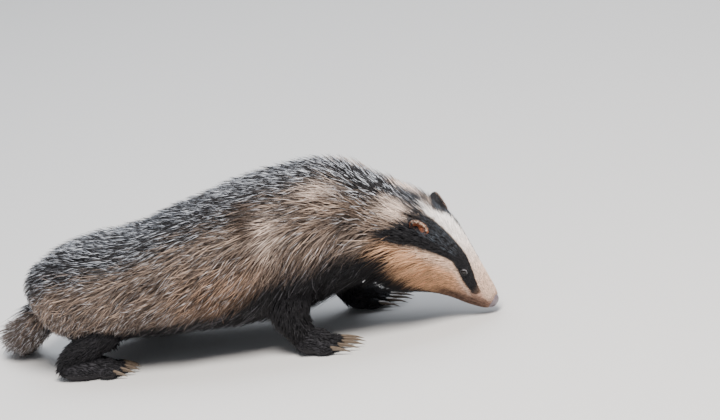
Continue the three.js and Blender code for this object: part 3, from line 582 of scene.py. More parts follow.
def settled(made):
    """The object's mesh with its modifiers applied."""
    graph = bpy.context.evaluated_depsgraph_get()
    mesh = bpy.data.meshes.new_from_object(made.evaluated_get(graph))
    made.modifiers.clear()
    old = made.data
    made.data = mesh
    bpy.data.meshes.remove(old)


# each loose part becomes one surface of small voxels, whose size is in metres, and is laid flat on the floor
LOOSE = [(limbs, 0.0024, BLACK * 1.6, 0.0), (tail_skin, 0.0030, FLANK * 0.5, 0.6)]
skin.data.materials.append(hide)
for loose, size, tone, banding in LOOSE:
    remesh = loose.modifiers.new("one surface", "REMESH")
    remesh.mode, remesh.voxel_size = "VOXEL", size
    ease = loose.modifiers.new("soften", "SMOOTH")
    ease.factor, ease.iterations = 0.5, 4
    settled(loose)
    loose.data.materials.append(hide)
    places = np.zeros(len(loose.data.vertices) * 3, np.float32)
    loose.data.vertices.foreach_get("co", places)
    places = places.reshape(-1, 3)
    places[:, 2] = np.maximum(places[:, 2], 0.0)
    loose.data.vertices.foreach_set("co", places.ravel())
    paint(loose, "pelt", np.broadcast_to(tone, places.shape), banding)
for loose, *_ in LOOSE:
    fuse = skin.modifiers.new("grown together", "BOOLEAN")
    fuse.operation, fuse.solver, fuse.object = "UNION", "MANIFOLD", loose
settled(skin)
for loose, *_ in LOOSE:
    bpy.data.objects.remove(loose)
skin.data.polygons.foreach_set("use_smooth", np.ones(len(skin.data.polygons), bool))
skin.data.polygons.foreach_set("material_index", np.zeros(len(skin.data.polygons), np.int32))
skin.data.materials.clear()
skin.data.materials.append(hide)
LEG_NODES = [f"{part}_{side}" for part in ("foreleg", "forepaw", "hindleg", "hindpaw")
             for side in ("right", "left")]
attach(skin, "root")
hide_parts("head", "neck", "torso", "rump", "tail", *LEG_NODES)

# Coat of the trunk
# The long coarse coat of body and neck and the short hair of the head. Each tuft is a closed three-sided
# blade rooted in the hide. It runs back along the body and down its side, drawn to the lock that it lies in.
HAIR_LENGTH = {0: 38, 1: 44, 2: 48, 6: 48, 7: 45, 8: 38, 9: 32, 10: 24, 11: 16, 12: 11, 13: 7.5, 14: 5,
               15: 3.8, 16: 2.6, 17: 2.0}
RUFF_LENGTH = {0: 38, 2: 48, 8: 44, 9: 42, 10: 40, 11: 34, 12: 25, 12.7: 16, 13.3: 9, 14: 5, 15: 3.8,
               16: 2.6, 17: 2.0}
HAIR_WIDTH = {0: 1.35, 7: 1.35, 8: 1.25, 9: 1.15, 10: 1.0, 11: 0.9, 12: 0.78, 13: 0.66, 14: 0.58, 15: 0.52,
              16: 0.46, 17: 0.42}
HAIR_CROWD = {0: 0.205, 8: 0.22, 9: 0.28, 10: 0.42, 11: 0.61, 12: 0.84, 13: 1.15, 14: 1.6, 15: 2.1, 16: 2.6,
              17: 3.0}
LOCK_STEP = {0: 15, 8: 14, 10: 13, 12: 9, 13: 6, 14: 4, 17: 3}
LOCK_NET = 512
CELLS_ALONG = 340
CELLS_ROUND = 180
LOWEST_TUFT = 1.0
LOWEST_PAW_HAIR = 0.6
ROOT_DEPTH = 0.2
LONG_SHARE = 0.64
HAIR_THICKNESS = 0.55
PANEL_TRIANGLES = 190000
UNWRAP = {"edge": 0.002, "span": 0.993, "wide": 0.0026, "long": 0.003}
TAPERS = {3: np.array([[0.75, 1.0, 0.62]]), 2: np.array([[0.85, 0.95]])}
# a blue-grey for painted sheen on black hairs
PAINTED_SHEEN = np.array([0.062, 0.070, 0.084])
rng = np.random.default_rng(4519)


def trunk_rates(u, angle):
    """Millimetres of surface in one station and in one radian, by central differences."""
    forwards = trunk_point(u + 0.05, angle, 0.6) - trunk_point(u - 0.05, angle, 0.6)
    around = trunk_point(u, angle + 0.02, 0.6) - trunk_point(u, angle - 0.02, 0.6)
    return np.linalg.norm(forwards, axis=-1) * 10, np.linalg.norm(around, axis=-1) * 25


def scattered(area, density, u_edges, v_edges):
    """Roots spread over a surface of two coordinates: each small cell gets hairs by its area and crowding,
    evenly dealt out over the cells and at random within one."""
    du, dv = u_edges[1] - u_edges[0], v_edges[1] - v_edges[0]
    u, v = np.meshgrid(u_edges[:-1], v_edges[:-1], indexing="ij")
    middle_u, middle_v = u + du / 2, v + dv / 2
    share = np.cumsum((area(middle_u, middle_v) * du * dv * density(middle_u, middle_v)).ravel())
    count = int(share[-1])
    picks = np.searchsorted(share, (np.arange(count) + rng.random(count)) / count * share[-1])
    picks = np.minimum(picks, share.size - 1)
    return u.ravel()[picks] + du * rng.random(count), v.ravel()[picks] + dv * rng.random(count)


def lock_of(a, b):
    """The lock that a hair lies in: the nearest of a jittered net of centres, one to each square of the
    net. Gives the centre's offset from the hair, and four random numbers of the lock."""
    table = np.random.default_rng(7).random((LOCK_NET, LOCK_NET, 6))
    best = np.full(a.shape, 1e9)
    offset = np.zeros(a.shape + (2,))
    lots = np.zeros(a.shape + (4,))
    for i in (-1, 0, 1):
        for j in (-1, 0, 1):
            p, q = np.floor(a).astype(int) + i, np.floor(b).astype(int) + j
            cell = table[p % LOCK_NET, q % LOCK_NET]
            away = np.stack([p + cell[..., 0] - a, q + cell[..., 1] - b], -1)
            far = (away**2).sum(-1)
            closer = far < best
            best = np.where(closer, far, best)
            offset = np.where(closer[..., None], away, offset)
            lots = np.where(closer[..., None], cell[..., 2:], lots)
    return offset[..., 0], offset[..., 1], lots


def lie_of(u, off):
    """How far a hair points down from straight back, in degrees, by station and angle from the crown."""
    side = np.sin(np.radians(off))
    droop = 15 * side + 16 * smooth(50, 105, off) * side
    droop = droop + 30 * smooth(5.2, 6.8, u) * smooth(9.8, 8.8, u) * smooth(36, 92, off)
    return droop + 20 * smooth(9, 10.5, u) * side * smooth(14, 12, u) * smooth(45, 80, off)


def trunk_hairs(u, angle, long_hair):
    """Paths of hairs: from the root the station falls by the length over the rate ahead, and the angle
    grows by the droop, both drawn to the lock's middle. The share of the coat rises from the skin to the
    hair's top, higher in the ruff behind the cheek."""
    off = np.abs(np.degrees(np.arctan2(np.sin(angle), np.cos(angle))))
    sign = np.sign(np.sin(angle))
    ahead, around = trunk_rates(u, angle)
    step = along(LOCK_STEP, u)
    to_u, to_angle, lots = lock_of(u * ahead / step, angle * around / step)
    to_u, to_angle = to_u * step / ahead, to_angle * step / around
    count = u.shape
    low_down = smooth(52, 80, off)
    length = along(HAIR_LENGTH, u) * (1 - low_down) + along(RUFF_LENGTH, u) * low_down
    length = length * np.where(long_hair, 1, 0.6) * rng.uniform(0.7, 1.12, count)
    tame = smooth(13.2, 11, u)
    ruff = low_down * smooth(8.6, 9.6, u) * smooth(13.0, 12.0, u)
    turn = lie_of(u, off) + (rng.normal(0, 9, count) + 26 * (lots[..., 0] - 0.5)) * (0.3 + 0.7 * tame)
    turn = np.radians(turn)
    curl = np.radians(rng.normal(0, 8, count) + 12 * (lots[..., 1] - 0.5)) * (0.25 + 0.75 * tame)
    guard = rng.uniform(0.72, 1.1, count) + 0.36 * (lots[..., 2] - 0.45) * tame
    high = np.where(long_hair, guard, rng.uniform(0.48, 0.78, count))
    high = np.minimum(high, 1.18) + 0.45 * ruff * (lots[..., 2] > 0.45) * long_hair
    pull = (rng.uniform(0.25, 0.6, count) + 0.2 * ruff) * tame
    t = np.array([0.0, 0.34, 0.68, 1.0])
    bend = turn[..., None] + curl[..., None] * (t - 0.3)
    back = length[..., None] * t * np.cos(bend) / ahead[..., None]
    down_side = length[..., None] * t * np.sin(bend) / around[..., None]
    path_u = u[..., None] - back + to_u[..., None] * pull[..., None] * t**1.8
    path_angle = angle[..., None] + sign[..., None] * down_side
    path_angle = path_angle + to_angle[..., None] * pull[..., None] * t**1.8
    share = 0.24 + (high[..., None] - 0.24) * t**0.8
    return path_u, path_angle, share, lots


def tuft_faces(rings):
    """Triangles of a three-sided blade of triangular rings and a tip, numbered from its first point."""
    faces = [[2, 1, 0]]
    for ring in range(rings - 1):
        for side in range(3):
            a, b = 3 * ring + side, 3 * ring + (side + 1) % 3
            faces += [[a, b, b + 3], [a, b + 3, a + 3]]
    last = 3 * (rings - 1)
    faces += [[last + side, last + (side + 1) % 3, 3 * rings] for side in range(3)]
    return np.array(faces)


def tuft_points(path, outward, wide, thick, taper):
    """Points of each blade: at every stop but the last a left, right and upper corner, then the tip."""
    ahead = unit(np.diff(path, axis=1))
    across = unit(np.cross(outward[:, :-1], ahead))
    over = np.cross(ahead, across)
    half = across * (wide[:, None] * taper)[..., None] / 2
    rise = over * (thick[:, None] * taper)[..., None] / 2
    stops = path[:, :-1]
    corners = np.stack([stops - half - rise, stops + half - rise, stops + rise], 2)
    return np.concatenate([corners.reshape(len(path), -1, 3), path[:, -1:]], 1)


def coat_panels(name, points, colours, banded, facts, place, finish, nodes_below):
    """The coat of one region, as panels that keep below a count of triangles: all blades of a panel as one
    mesh, with their colour and banding, their place along the hair with three facts of each hair, and an
    unwrap where each blade is a small patch at its root's place."""
    count, per_tuft, _ = points.shape
    rings = (per_tuft - 1) // 3
    pattern = tuft_faces(rings)
    panels = math.ceil(count * len(pattern) / PANEL_TRIANGLES)
    order = np.argsort(place[:, 0])
    t = np.append(np.repeat(np.linspace(0, 1, rings + 1)[:-1], 3), 1.0)
    middle = UNWRAP["wide"] / 2
    across = np.append(np.tile([0.0, UNWRAP["wide"], middle], rings), middle)
    for number, part in enumerate(np.array_split(order, panels)):
        faces = (pattern[None] + (np.arange(len(part)) * per_tuft)[:, None, None]).reshape(-1, 3)
        label = name if panels == 1 else f"{name}_{number + 1}"
        made = mesh_object(label, points[part].reshape(-1, 3), faces)
        paint(made, "pelt", np.repeat(colours[part][:, None], per_tuft, 1), banded[part][:, None])
        shaft = np.empty((len(part), per_tuft, 3))
        shaft[..., 0] = t
        shaft[..., 1:] = facts[part][:, None, :2]
        paint(made, "hair", shaft, facts[part][:, None, 2])
        low, high = place[part].min(0), place[part].max(0)
        spot = UNWRAP["edge"] + UNWRAP["span"] * (place[part] - low) / np.maximum(high - low, 1e-9)
        uv = (spot[:, None] + np.stack([across, t * UNWRAP["long"]], -1)[None]).reshape(-1, 2)
        layer = made.data.uv_layers.new(name="OFBake")
        layer.data.foreach_set("uv", uv[faces.ravel()].astype(np.float32).ravel())
        made.data.materials.append(finish)
        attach(made, "root")
        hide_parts(*nodes_below)


# banded hair: a shadowed root, the coat's colour, a dark band and a pale tip where the hair is banded
bands, given, result = group(
    "banded_hair",
    {"Colour": (0.5, 0.5, 0.5, 1), "Banded": 0.0, "Along": 0.5, "Chance": 0.5, "Lock": 0.5,
     "Band colour": (0.020, 0.018, 0.019, 1), "Frost colour": (0.82, 0.84, 0.90, 1), "Root shade": 0.5},
    {"Colour": "NodeSocketColor"})
vary = node(bands, "ShaderNodeMapRange", in_3=0.66, in_4=1.30)
vary_lock = node(bands, "ShaderNodeMapRange", in_3=0.66, in_4=1.3)
root = node(bands, "ShaderNodeMapRange", interpolation_type="SMOOTHSTEP", in_1=0.0, in_2=0.6, in_4=1.0)
both = node(bands, "ShaderNodeMath", operation="MULTIPLY")
all_three = node(bands, "ShaderNodeMath", operation="MULTIPLY")
plain = node(bands, "ShaderNodeVectorMath", operation="SCALE")
rise = node(bands, "ShaderNodeMapRange", interpolation_type="SMOOTHSTEP", in_1=0.2, in_2=0.42)
start = node(bands, "ShaderNodeMapRange", in_3=0.60, in_4=1.04)
past = node(bands, "ShaderNodeMath", operation="SUBTRACT")
tip = node(bands, "ShaderNodeMapRange", interpolation_type="SMOOTHSTEP", in_1=0.0, in_2=0.12)
tip_share = node(bands, "ShaderNodeMapRange", in_1=0.0, in_2=0.55, in_3=0.0, in_4=1.0)
band = node(bands, "ShaderNodeMath", operation="MULTIPLY")
tipped = node(bands, "ShaderNodeMath", operation="MULTIPLY")
darkened = node(bands, "ShaderNodeMix", data_type="RGBA")
bright = node(bands, "ShaderNodeVectorMath", operation="SCALE", in_Scale=1.45)
frostiness = node(bands, "ShaderNodeMapRange", in_1=0.35, in_2=0.9)
tip_colour = node(bands, "ShaderNodeMix", data_type="RGBA")
frosted = node(bands, "ShaderNodeMix", data_type="RGBA")
wire(bands, (given, "Chance", vary, 0), (given, "Lock", vary_lock, 0), (given, "Along", root, 0),
     (given, "Root shade", root, 3), (vary, 0, both, 0), (vary_lock, 0, both, 1), (both, 0, all_three, 0),
     (root, 0, all_three, 1), (given, "Colour", plain, 0), (all_three, 0, plain, "Scale"),
     (given, "Along", rise, 0), (rise, 0, band, 0), (given, "Banded", band, 1),
     (band, 0, darkened, "Factor"), (plain, 0, darkened, 6), (given, "Band colour", darkened, 7),
     (given, "Chance", start, 0),
     (given, "Along", past, 0), (start, 0, past, 1), (past, 0, tip, 0), (given, "Banded", tip_share, 0),
     (tip, 0, tipped, 0), (tip_share, 0, tipped, 1), (given, "Colour", bright, 0),
     (given, "Banded", frostiness, 0), (frostiness, 0, tip_colour, "Factor"), (bright, 0, tip_colour, 6),
     (given, "Frost colour", tip_colour, 7), (tipped, 0, frosted, "Factor"), (darkened, 2, frosted, 6),
     (tip_colour, 2, frosted, 7), (frosted, 2, result, "Colour"))


def hair_material(name, roughness, root_shade):
    """Hair: the banded colour over a soft, slightly glossy shader."""
    made, tree, shader = material(name, in_Roughness=roughness, in_Specular_IOR_Level=0.3)
    pelt = node(tree, "ShaderNodeAttribute", attribute_name="pelt")
    hair = node(tree, "ShaderNodeAttribute", attribute_name="hair")
    split = node(tree, "ShaderNodeSeparateColor")
    hairs = node(tree, "ShaderNodeGroup", node_tree=bands, in_Root_shade=root_shade)
    wire(tree, (pelt, "Color", hairs, "Colour"), (hair, "Color", split, 0), (split, 0, hairs, "Along"),
         (split, 1, hairs, "Chance"), (split, 2, hairs, "Lock"), (hair, "Alpha", hairs, "Banded"),
         (hairs, "Colour", shader, "Base Color"))
    return made


guard_hair = hair_material("guard hair", 0.52, 0.40)
face_hair = hair_material("short face hair", 0.6, 0.72)


def hair_colours(colour, banded, long_hair, chance, body):
    """A hair's own colour: underfur is darker and hardly banded. On the body one hair in nine of the black
    parts is pale, and one in four of the light parts is dark, or one in six where they are palest. On the
    head one in twelve is dark where the colour isn't white or black."""
    luminance = colour.mean(-1)
    pale = (chance < 0.11 * body) & (luminance < 0.045)
    dark = (chance > 1 - 0.16 * body - 0.08 * (luminance < 0.6)) & (luminance > 0.14)
    own = np.where(pale[:, None], colour * 6 + 0.07, colour)
    own = np.where(dark[:, None], own * 0.35, own)
    return np.where(long_hair[:, None], own, own * 0.6), banded * np.where(long_hair, 1, 0.3)


# An ear's place and radii, and its profile from the back's middle over the rim to the floor of its cup, as
# shares of the radii outwards and along the way that it faces. The coat keeps clear of the cup.
EAR = {"behind": 123.0, "height": 43.5, "out": 34.0, "radii": [13.0, 7.2, 7.6], "clear": 14}
EAR_PROFILE = np.array([[0.02, -0.98], [0.35, -0.92], [0.62, -0.76], [0.82, -0.50], [0.94, -0.16],
                        [0.98, 0.12], [0.96, 0.24], [0.90, 0.26], [0.85, 0.18], [0.79, 0.06], [0.68, -0.10],
                        [0.50, -0.24], [0.28, -0.32], [0.02, -0.34]])


def ear_frame(side):
    """An ear's centre, and the directions along the head, up its rim and out of its cup."""
    facing = unit(SIDEWAYS * side * 0.80 + FORWARD * 0.38 + UPWARD * 0.36)
    length = unit(FORWARD - facing * (FORWARD @ facing))
    rim = np.cross(facing, length)
    centre = on_head(EAR["behind"], EAR["height"], side * EAR["out"])
    return centre, length, rim * np.sign(rim @ UPWARD), facing


def clear_of_face(u, angle):
    """True where a root lies outside the opening of the lids and outside an ellipse over the ear's cup."""
    clear = np.ones(len(u), bool)
    low, high = trunk_point(u, angle, SKIN_SHARE), trunk_point(u, angle, 0.5)
    for side in SIDE_NAMES:
        centre, facing, corners, upper = eye_frame(side)
        a, b, c = (low - centre) @ corners, (low - centre) @ upper, (low - centre) @ facing
        lids = (np.abs(b) < lid_reach(a * 0.9, b > 0) + 0.7) & (c > -6) & (np.abs(a) < LID["corner"])
        centre, length, rim, facing = ear_frame(side)
        a, b = (high - centre) @ length / EAR["radii"][0], (high - centre) @ rim / EAR["radii"][1]
        cup = ((a - 0.3) ** 2 / 1.2 + (b - 0.1) ** 2 / 0.55 < 1.0) & (b >= -0.45)
        clear &= ~lids & ~(cup & (np.abs((high - centre) @ facing) <= EAR["clear"]))
    return clear


def trunk_coat(name, u_range, rings, finish, nodes_below):
    """The coat between two stations: roots by crowding, paths, blades and their colours."""
    u, angle = scattered(lambda p, q: np.prod(trunk_rates(p, q), axis=0), lambda p, q: along(HAIR_CROWD, p),
                         np.linspace(*u_range, CELLS_ALONG + 1), np.linspace(-np.pi, np.pi, CELLS_ROUND + 1))
    clear = clear_of_face(u, angle)
    u, angle = u[clear], angle[clear]
    count = len(u)
    long_hair = rng.random(count) < LONG_SHARE
    path_u, path_angle, share, lots = trunk_hairs(u, angle, long_hair)
    middle_u, middle_angle = path_u[:, 1:3].mean(1), path_angle[:, 1:3].mean(1)
    if rings == 2:
        keep = [0, 1, 3]
        path_u, path_angle, share = path_u[:, keep], path_angle[:, keep], share[:, keep]
    path = trunk_point(path_u, path_angle, share)
    outward = trunk_outward(path_u, path_angle, share)
    for side in SIDE_NAMES:
        centre, facing, _, _ = eye_frame(side)
        offset = path - centre
        depth = np.linalg.norm(offset, axis=-1)
        lifted = centre + unit(offset) * np.maximum(depth, EYE["radius"] + LID["dome"] + 0.35)[..., None]
        path = np.where(((offset @ facing) > 0)[..., None], lifted, path)
    path[..., 2] = np.maximum(path[..., 2], LOWEST_TUFT)
    wide = along(HAIR_WIDTH, u) * rng.uniform(0.7, 1.25, count) * np.where(long_hair, 1, 1.3)
    points = tuft_points(path, outward, wide, wide * HAIR_THICKNESS, TAPERS[rings])
    jitter_u = rng.normal(0, 0.07, count) * smooth(11, 9, u)
    jitter_angle = rng.normal(0, 0.06, count) * smooth(12, 9, u)
    colour, banded = markings(middle_u + jitter_u, middle_angle + jitter_angle)
    chance = rng.random(count)
    body = smooth(10.2, 9.2, u)
    # painted sheen: some black hairs on the top of the head between ear and eye are made blue-grey, for the
    # glint of light on them
    painted_sheen = rng.random(count) < 0.4 * smooth(10.4, 11.2, u) * smooth(13.4, 12.8, u)
    painted_sheen = painted_sheen & (np.abs(middle_angle) < 0.72) & (colour.mean(-1) < 0.05)
    colour = np.where(painted_sheen[:, None], PAINTED_SHEEN, colour)
    colour, banded = hair_colours(colour, banded, long_hair, chance, body)
    tipped = rng.random(count) < 0.22 + 0.72 * banded
    tipped = np.where(tipped, np.minimum(banded * 1.3, 1), 0.1 * banded)
    facts = np.stack([rng.random(count), 0.5 + (lots[:, 3] - 0.5) * (0.35 + 0.65 * body), tipped], -1)
    place = np.stack([u, np.arctan2(np.sin(angle), np.cos(angle))], -1)
    coat_panels(name, points, colour, banded, facts, place, finish, nodes_below)


trunk_coat("coat_body", (0.0, 5.0), 3, guard_hair, ("rump", "torso"))
trunk_coat("coat_shoulder", (5.0, 9.6), 3, guard_hair, ("torso", "neck"))
trunk_coat("coat_cheek", (9.6, 13.0), 2, face_hair, ("head", "neck"))
trunk_coat("coat_muzzle", (13.0, 16.85), 2, face_hair, ("head",))

# Coat of tail, legs and paws
# The tail's long grizzled brush, and the black hair of the legs, which runs down them and grows shorter to
# the paws and toes. The tufts are blades as on the trunk, rooted in the hide.
PALM_HAIRS = 560
TOE_HAIRS = 160


def grown(root, outward, lie, length, lift, rings):
    """Paths of hairs on any surface: root plus the lie times the length, raised by `lift` times the length
    and bent back to the surface towards the tip."""
    t = np.linspace(0, 1, rings + 1)[None, :, None]
    run, rise = length[:, None, None] * t, length[:, None, None] * lift[:, None, None]
    return root[:, None] + lie[:, None] * run + outward[:, None] * rise * (t**0.7 - 0.25 * t**2) * 1.3


def surface_hairs(name, root, outward, lie, length, lift, wide, colour, banded, place, rings, finish,
                  below):
    """Hairs of a small surface, turned a little at random from the way they lie, as panels of the coat."""
    count = len(root)
    lie = unit(lie - outward * (lie * outward).sum(-1, keepdims=True))
    side = np.cross(outward, lie)
    turn = rng.normal(0, 0.2, count)[:, None]
    lie = lie * np.cos(turn) + side * np.sin(turn)
    length = length * rng.uniform(0.7, 1.15, count)
    lift = lift * rng.uniform(0.6, 1.3, count)
    path = grown(root, outward, lie, length, lift, rings)
    path[..., 2] = np.maximum(path[..., 2], LOWEST_PAW_HAIR)
    wide = wide * rng.uniform(0.75, 1.25, count)
    outward = np.repeat(outward[:, None], rings + 1, 1)
    points = tuft_points(path, outward, wide, wide * HAIR_THICKNESS, TAPERS[rings])
    own, banded = hair_colours(colour, banded, np.ones(count, bool), rng.random(count), 0.0)
    facts = np.stack([rng.random(count), rng.random(count), banded], -1)
    coat_panels(name, points, own, banded, facts, place, finish, below)


def tube_roots(stops, crowd, start, grow):
    """Roots over a tube: the area of a cell is the tube's length by its girth there."""
    span = np.linalg.norm(np.diff(stops[:, :3], axis=0), axis=1).sum()

    def area(t, turn):
        values = spline(stops, t * (len(stops) - 1))
        return span * (values[..., 3] + values[..., 4]) / 2

    t, turn = scattered(area, lambda p, q: crowd * smooth(start - 0.02, start + 0.02, p),
                        np.linspace(0, 1, 61), np.linspace(0, 2 * np.pi, 61))
    root = tube_point(stops, t, turn, grow)
    _, ahead, across, upright, wide, deep = tube_frame(stops, t)
    outward = unit(across * (np.cos(turn) / wide)[:, None] + upright * (np.sin(turn) / deep)[:, None])
    return t, turn, root, outward, ahead


def way_out(v, w):
    """The direction at v from the third axis and w round it: sine v times the cosine and the sine of w,
    then cosine v."""
    return np.stack([np.sin(v) * np.cos(w), np.sin(v) * np.sin(w), np.cos(v)], -1)


def gathered(parts):
    """The hairs of several surfaces as one set. The first three columns are roots, outward ways and lies,
    which are vectors, and the others are a number for each hair or one number for all."""
    columns = []
    for number, column in enumerate(zip(*parts)):
        size = (3,) if number < 3 else ()
        whole = [np.broadcast_to(value, (len(part[0]), *size)) for value, part in zip(column, parts)]
        columns.append(np.concatenate(whole))
    return columns


t, turn, root, outward, ahead = tube_roots(TAIL_STOPS, 0.34, 0.0, -TAIL_FUR - ROOT_DEPTH)
length = 26 + 16 * smooth(0.2, 0.9, t)
surface_hairs("coat_tail", root, outward, ahead + np.array([0, 0, -0.12]), length, 0.30, 1.2, FLANK * 0.9,
              0.75, np.stack([t, turn], -1), 3, guard_hair, ("tail",))

for leg in LEG_STOPS:
    for side in SIDE_NAMES:
        parts = []
        for number, stops in enumerate(leg_stops(leg, side)):
            upper = number == 0
            t, turn, root, outward, ahead = tube_roots(stops, 0.19, 0.12 if upper else 0.0, -LEG_FUR - 0.3)
            lie = ahead + np.array([-0.45, 0, -0.5]) * upper
            parts.append((root, outward, lie, 11 + 9 * (1 - t) * upper, 0.24, 1.3, t + number, turn))
        radii = np.array(PALM[leg][1]) - (PALM_FUR + ROOT_DEPTH)
        v, w = np.arccos(rng.uniform(-0.1, 1, PALM_HAIRS)), rng.uniform(0, 2 * np.pi, PALM_HAIRS)
        away = way_out(v, w)
        parts.append((palm_place(leg, side) + away * radii, unit(away / radii), np.array([1.0, 0, -0.35]),
                      8.0, 0.22, 1.05, v + 3, w))
        for number in range(TOES):
            centre, heading = toe_place(leg, side, number)
            radii = np.array(TOE[leg]["radii"]) - (TOE_FUR + ROOT_DEPTH)
            v = np.arccos(rng.uniform(-0.6, 0.95, TOE_HAIRS))
            w = rng.uniform(-0.25, np.pi + 0.25, TOE_HAIRS)
            away = way_out(v, w)
            axes = np.stack([np.cross(TOE_UP, heading), TOE_UP, heading])
            parts.append((centre + (away * radii) @ axes, unit((away / radii) @ axes),
                          heading + [0, 0, -0.3], 5.0, 0.2, 0.9, v + 6 + 3 * number, w))
        root, outward, lie, length, lift, wide, spot_u, spot_v = gathered(parts)
        below = (f"{leg}_{SIDE_NAMES[side]}", f"{leg[:4]}paw_{SIDE_NAMES[side]}")
        place = np.stack([spot_u, spot_v], -1)
        surface_hairs(f"coat_{leg}_{SIDE_NAMES[side]}", root, outward, lie, length, lift, wide,
                      BLACK * 1.25, 0.05, place, 2, face_hair, below)

# Ears
# Low rounded ears set in the coat of the head: thin cups of skin, black behind and rusty inside, covered
# with fine hair that is black at the back, rusty within and pale along the upper rim.
EAR_HAIRS = 2500
EAR_RED = np.array([0.40, 0.13, 0.065])
EAR_RUST = np.array([0.48, 0.17, 0.08])


def ear_point(side, s, turn):
    """A point of the ear: its profile, from the back's middle over the rim to the cup's floor, turned about
    the way it faces, with a low fold across the cup."""
    centre, length, rim, facing = ear_frame(side)
    profile = spline(EAR_PROFILE, s * (len(EAR_PROFILE) - 1))
    radius, depth = profile[..., 0], profile[..., 1]
    depth = depth + 0.10 * np.cos(2 * turn) * smooth(0.3, 0.45, s)
    depth = depth + 0.05 * np.sin(3 * turn + 4 * s) * smooth(0.6, 0.8, s)
    a, b, c = EAR["radii"]
    across = length * (a * radius * np.cos(turn))[..., None]
    return centre + across + rim * (b * radius * np.sin(turn))[..., None] + facing * (c * depth)[..., None]


ear_skin = down_material("ear skin", 0.6, 1400.0, 0.0004)
for side in SIDE_NAMES:
    s, turn = grid(np.linspace(0, 1, 64), 72)
    rings = ear_point(side, s, turn)
    _, length_way, rim, facing = ear_frame(side)
    right_handed = np.cross(length_way, rim) @ facing > 0
    cup = rings if right_handed else rings[:, ::-1]
    ear = mesh_object(f"ear_cup_{SIDE_NAMES[side]}", *closed_loft(cup))
    paint(ear, "pelt", mixed(BLACK * 1.5, EAR_RED, smooth(0.55, 0.68, with_ends(s))))
    ear.data.materials.append(ear_skin)
    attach(ear, "root")
    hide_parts(f"ear_{SIDE_NAMES[side]}")
    s, turn = rng.uniform(0.06, 0.98, EAR_HAIRS), rng.uniform(0, 2 * np.pi, EAR_HAIRS)
    root = ear_point(side, s, turn)
    step_s = ear_point(side, np.minimum(s + 0.01, 1), turn) - ear_point(side, np.maximum(s - 0.01, 0), turn)
    step_turn = ear_point(side, s, turn + 0.02) - ear_point(side, s, turn - 0.02)
    outward = unit(np.cross(step_turn, step_s)) * (1 if right_handed else -1)
    on_rim = np.exp(-widths_off(s, 0.47, 0.05))
    within = smooth(0.50, 0.56, s)
    lie = unit(step_s) * np.where(s < 0.56, 1, -1)[:, None] - length_way * 0.35 + facing * 0.2
    high_rim = on_rim * smooth(-0.1, 0.5, np.sin(turn))
    colour = mixed(BLACK * 1.2, EAR_RUST, within)
    colour = mixed(colour, BLACK * 2, within * smooth(-0.55, -0.9, np.sin(turn)))
    colour = mixed(colour, CREAM, np.clip(1.3 * high_rim, 0, 1) * (rng.random(EAR_HAIRS) < 0.8))
    surface_hairs(f"coat_ear_{SIDE_NAMES[side]}", root, outward, lie, 3.6 + 1.6 * on_rim, 0.2, 0.55, colour,
                  0.0, np.stack([s, turn], -1), 2, face_hair, (f"ear_{SIDE_NAMES[side]}",))

# Eyes and lids
# Small dark eyes of glass, each set behind a rim of bare black lid. Above the eye the rim carries a painted
# highlight, a pale crescent for the glint of light on the wet eye. The rim is a thin tube round the opening,
# laid on a sphere just over the eyeball.
RIM_TURNS = 96
RIM_SIDES = 12
PUPIL = np.array([0.0025, 0.0025, 0.003])
IRIS = np.array([0.010, 0.005, 0.0035])
LID_BLACK = np.array([0.010, 0.009, 0.010])
# a pale grey for the painted highlight on the upper lid
LID_HIGHLIGHT_GREY = np.array([0.16, 0.152, 0.156])
eye_finish, tree, shader = material("wet dark eye", in_Roughness=0.04, in_Specular_IOR_Level=0.4,
                                    in_Coat_Weight=0.15, in_Coat_Roughness=0.02)
iris = node(tree, "ShaderNodeAttribute", attribute_name="pelt")
fibres = node(tree, "ShaderNodeTexNoise", in_Scale=1800.0, in_Detail=2.0)
where = node(tree, "ShaderNodeTexCoord")
strength = node(tree, "ShaderNodeMapRange", in_3=0.6, in_4=1.4)
tinted = node(tree, "ShaderNodeVectorMath", operation="SCALE")
wire(tree, (where, "Object", fibres, "Vector"), (fibres, "Fac", strength, 0), (iris, "Color", tinted, 0),
     (strength, 0, tinted, "Scale"), (tinted, 0, shader, "Base Color"))
lid_skin, tree, shader = material("lid rim", in_Roughness=0.35)
where = node(tree, "ShaderNodeTexCoord")
grain = node(tree, "ShaderNodeTexNoise", in_Scale=1500.0, in_Detail=3.0)
tone = node(tree, "ShaderNodeMapRange", in_1=0.3, in_2=0.7, in_3=0.6, in_4=1.4)
edge = node(tree, "ShaderNodeAttribute", attribute_name="pelt")
shaded = node(tree, "ShaderNodeVectorMath", operation="SCALE")
bump = node(tree, "ShaderNodeBump", in_Strength=0.4, in_Distance=0.0003)
wire(tree, (where, "Object", grain, "Vector"), (grain, "Fac", tone, 0), (edge, "Color", shaded, 0),
     (tone, 0, shaded, "Scale"), (shaded, 0, shader, "Base Color"), (grain, "Fac", bump, "Height"),
     (bump, 0, shader, "Normal"))
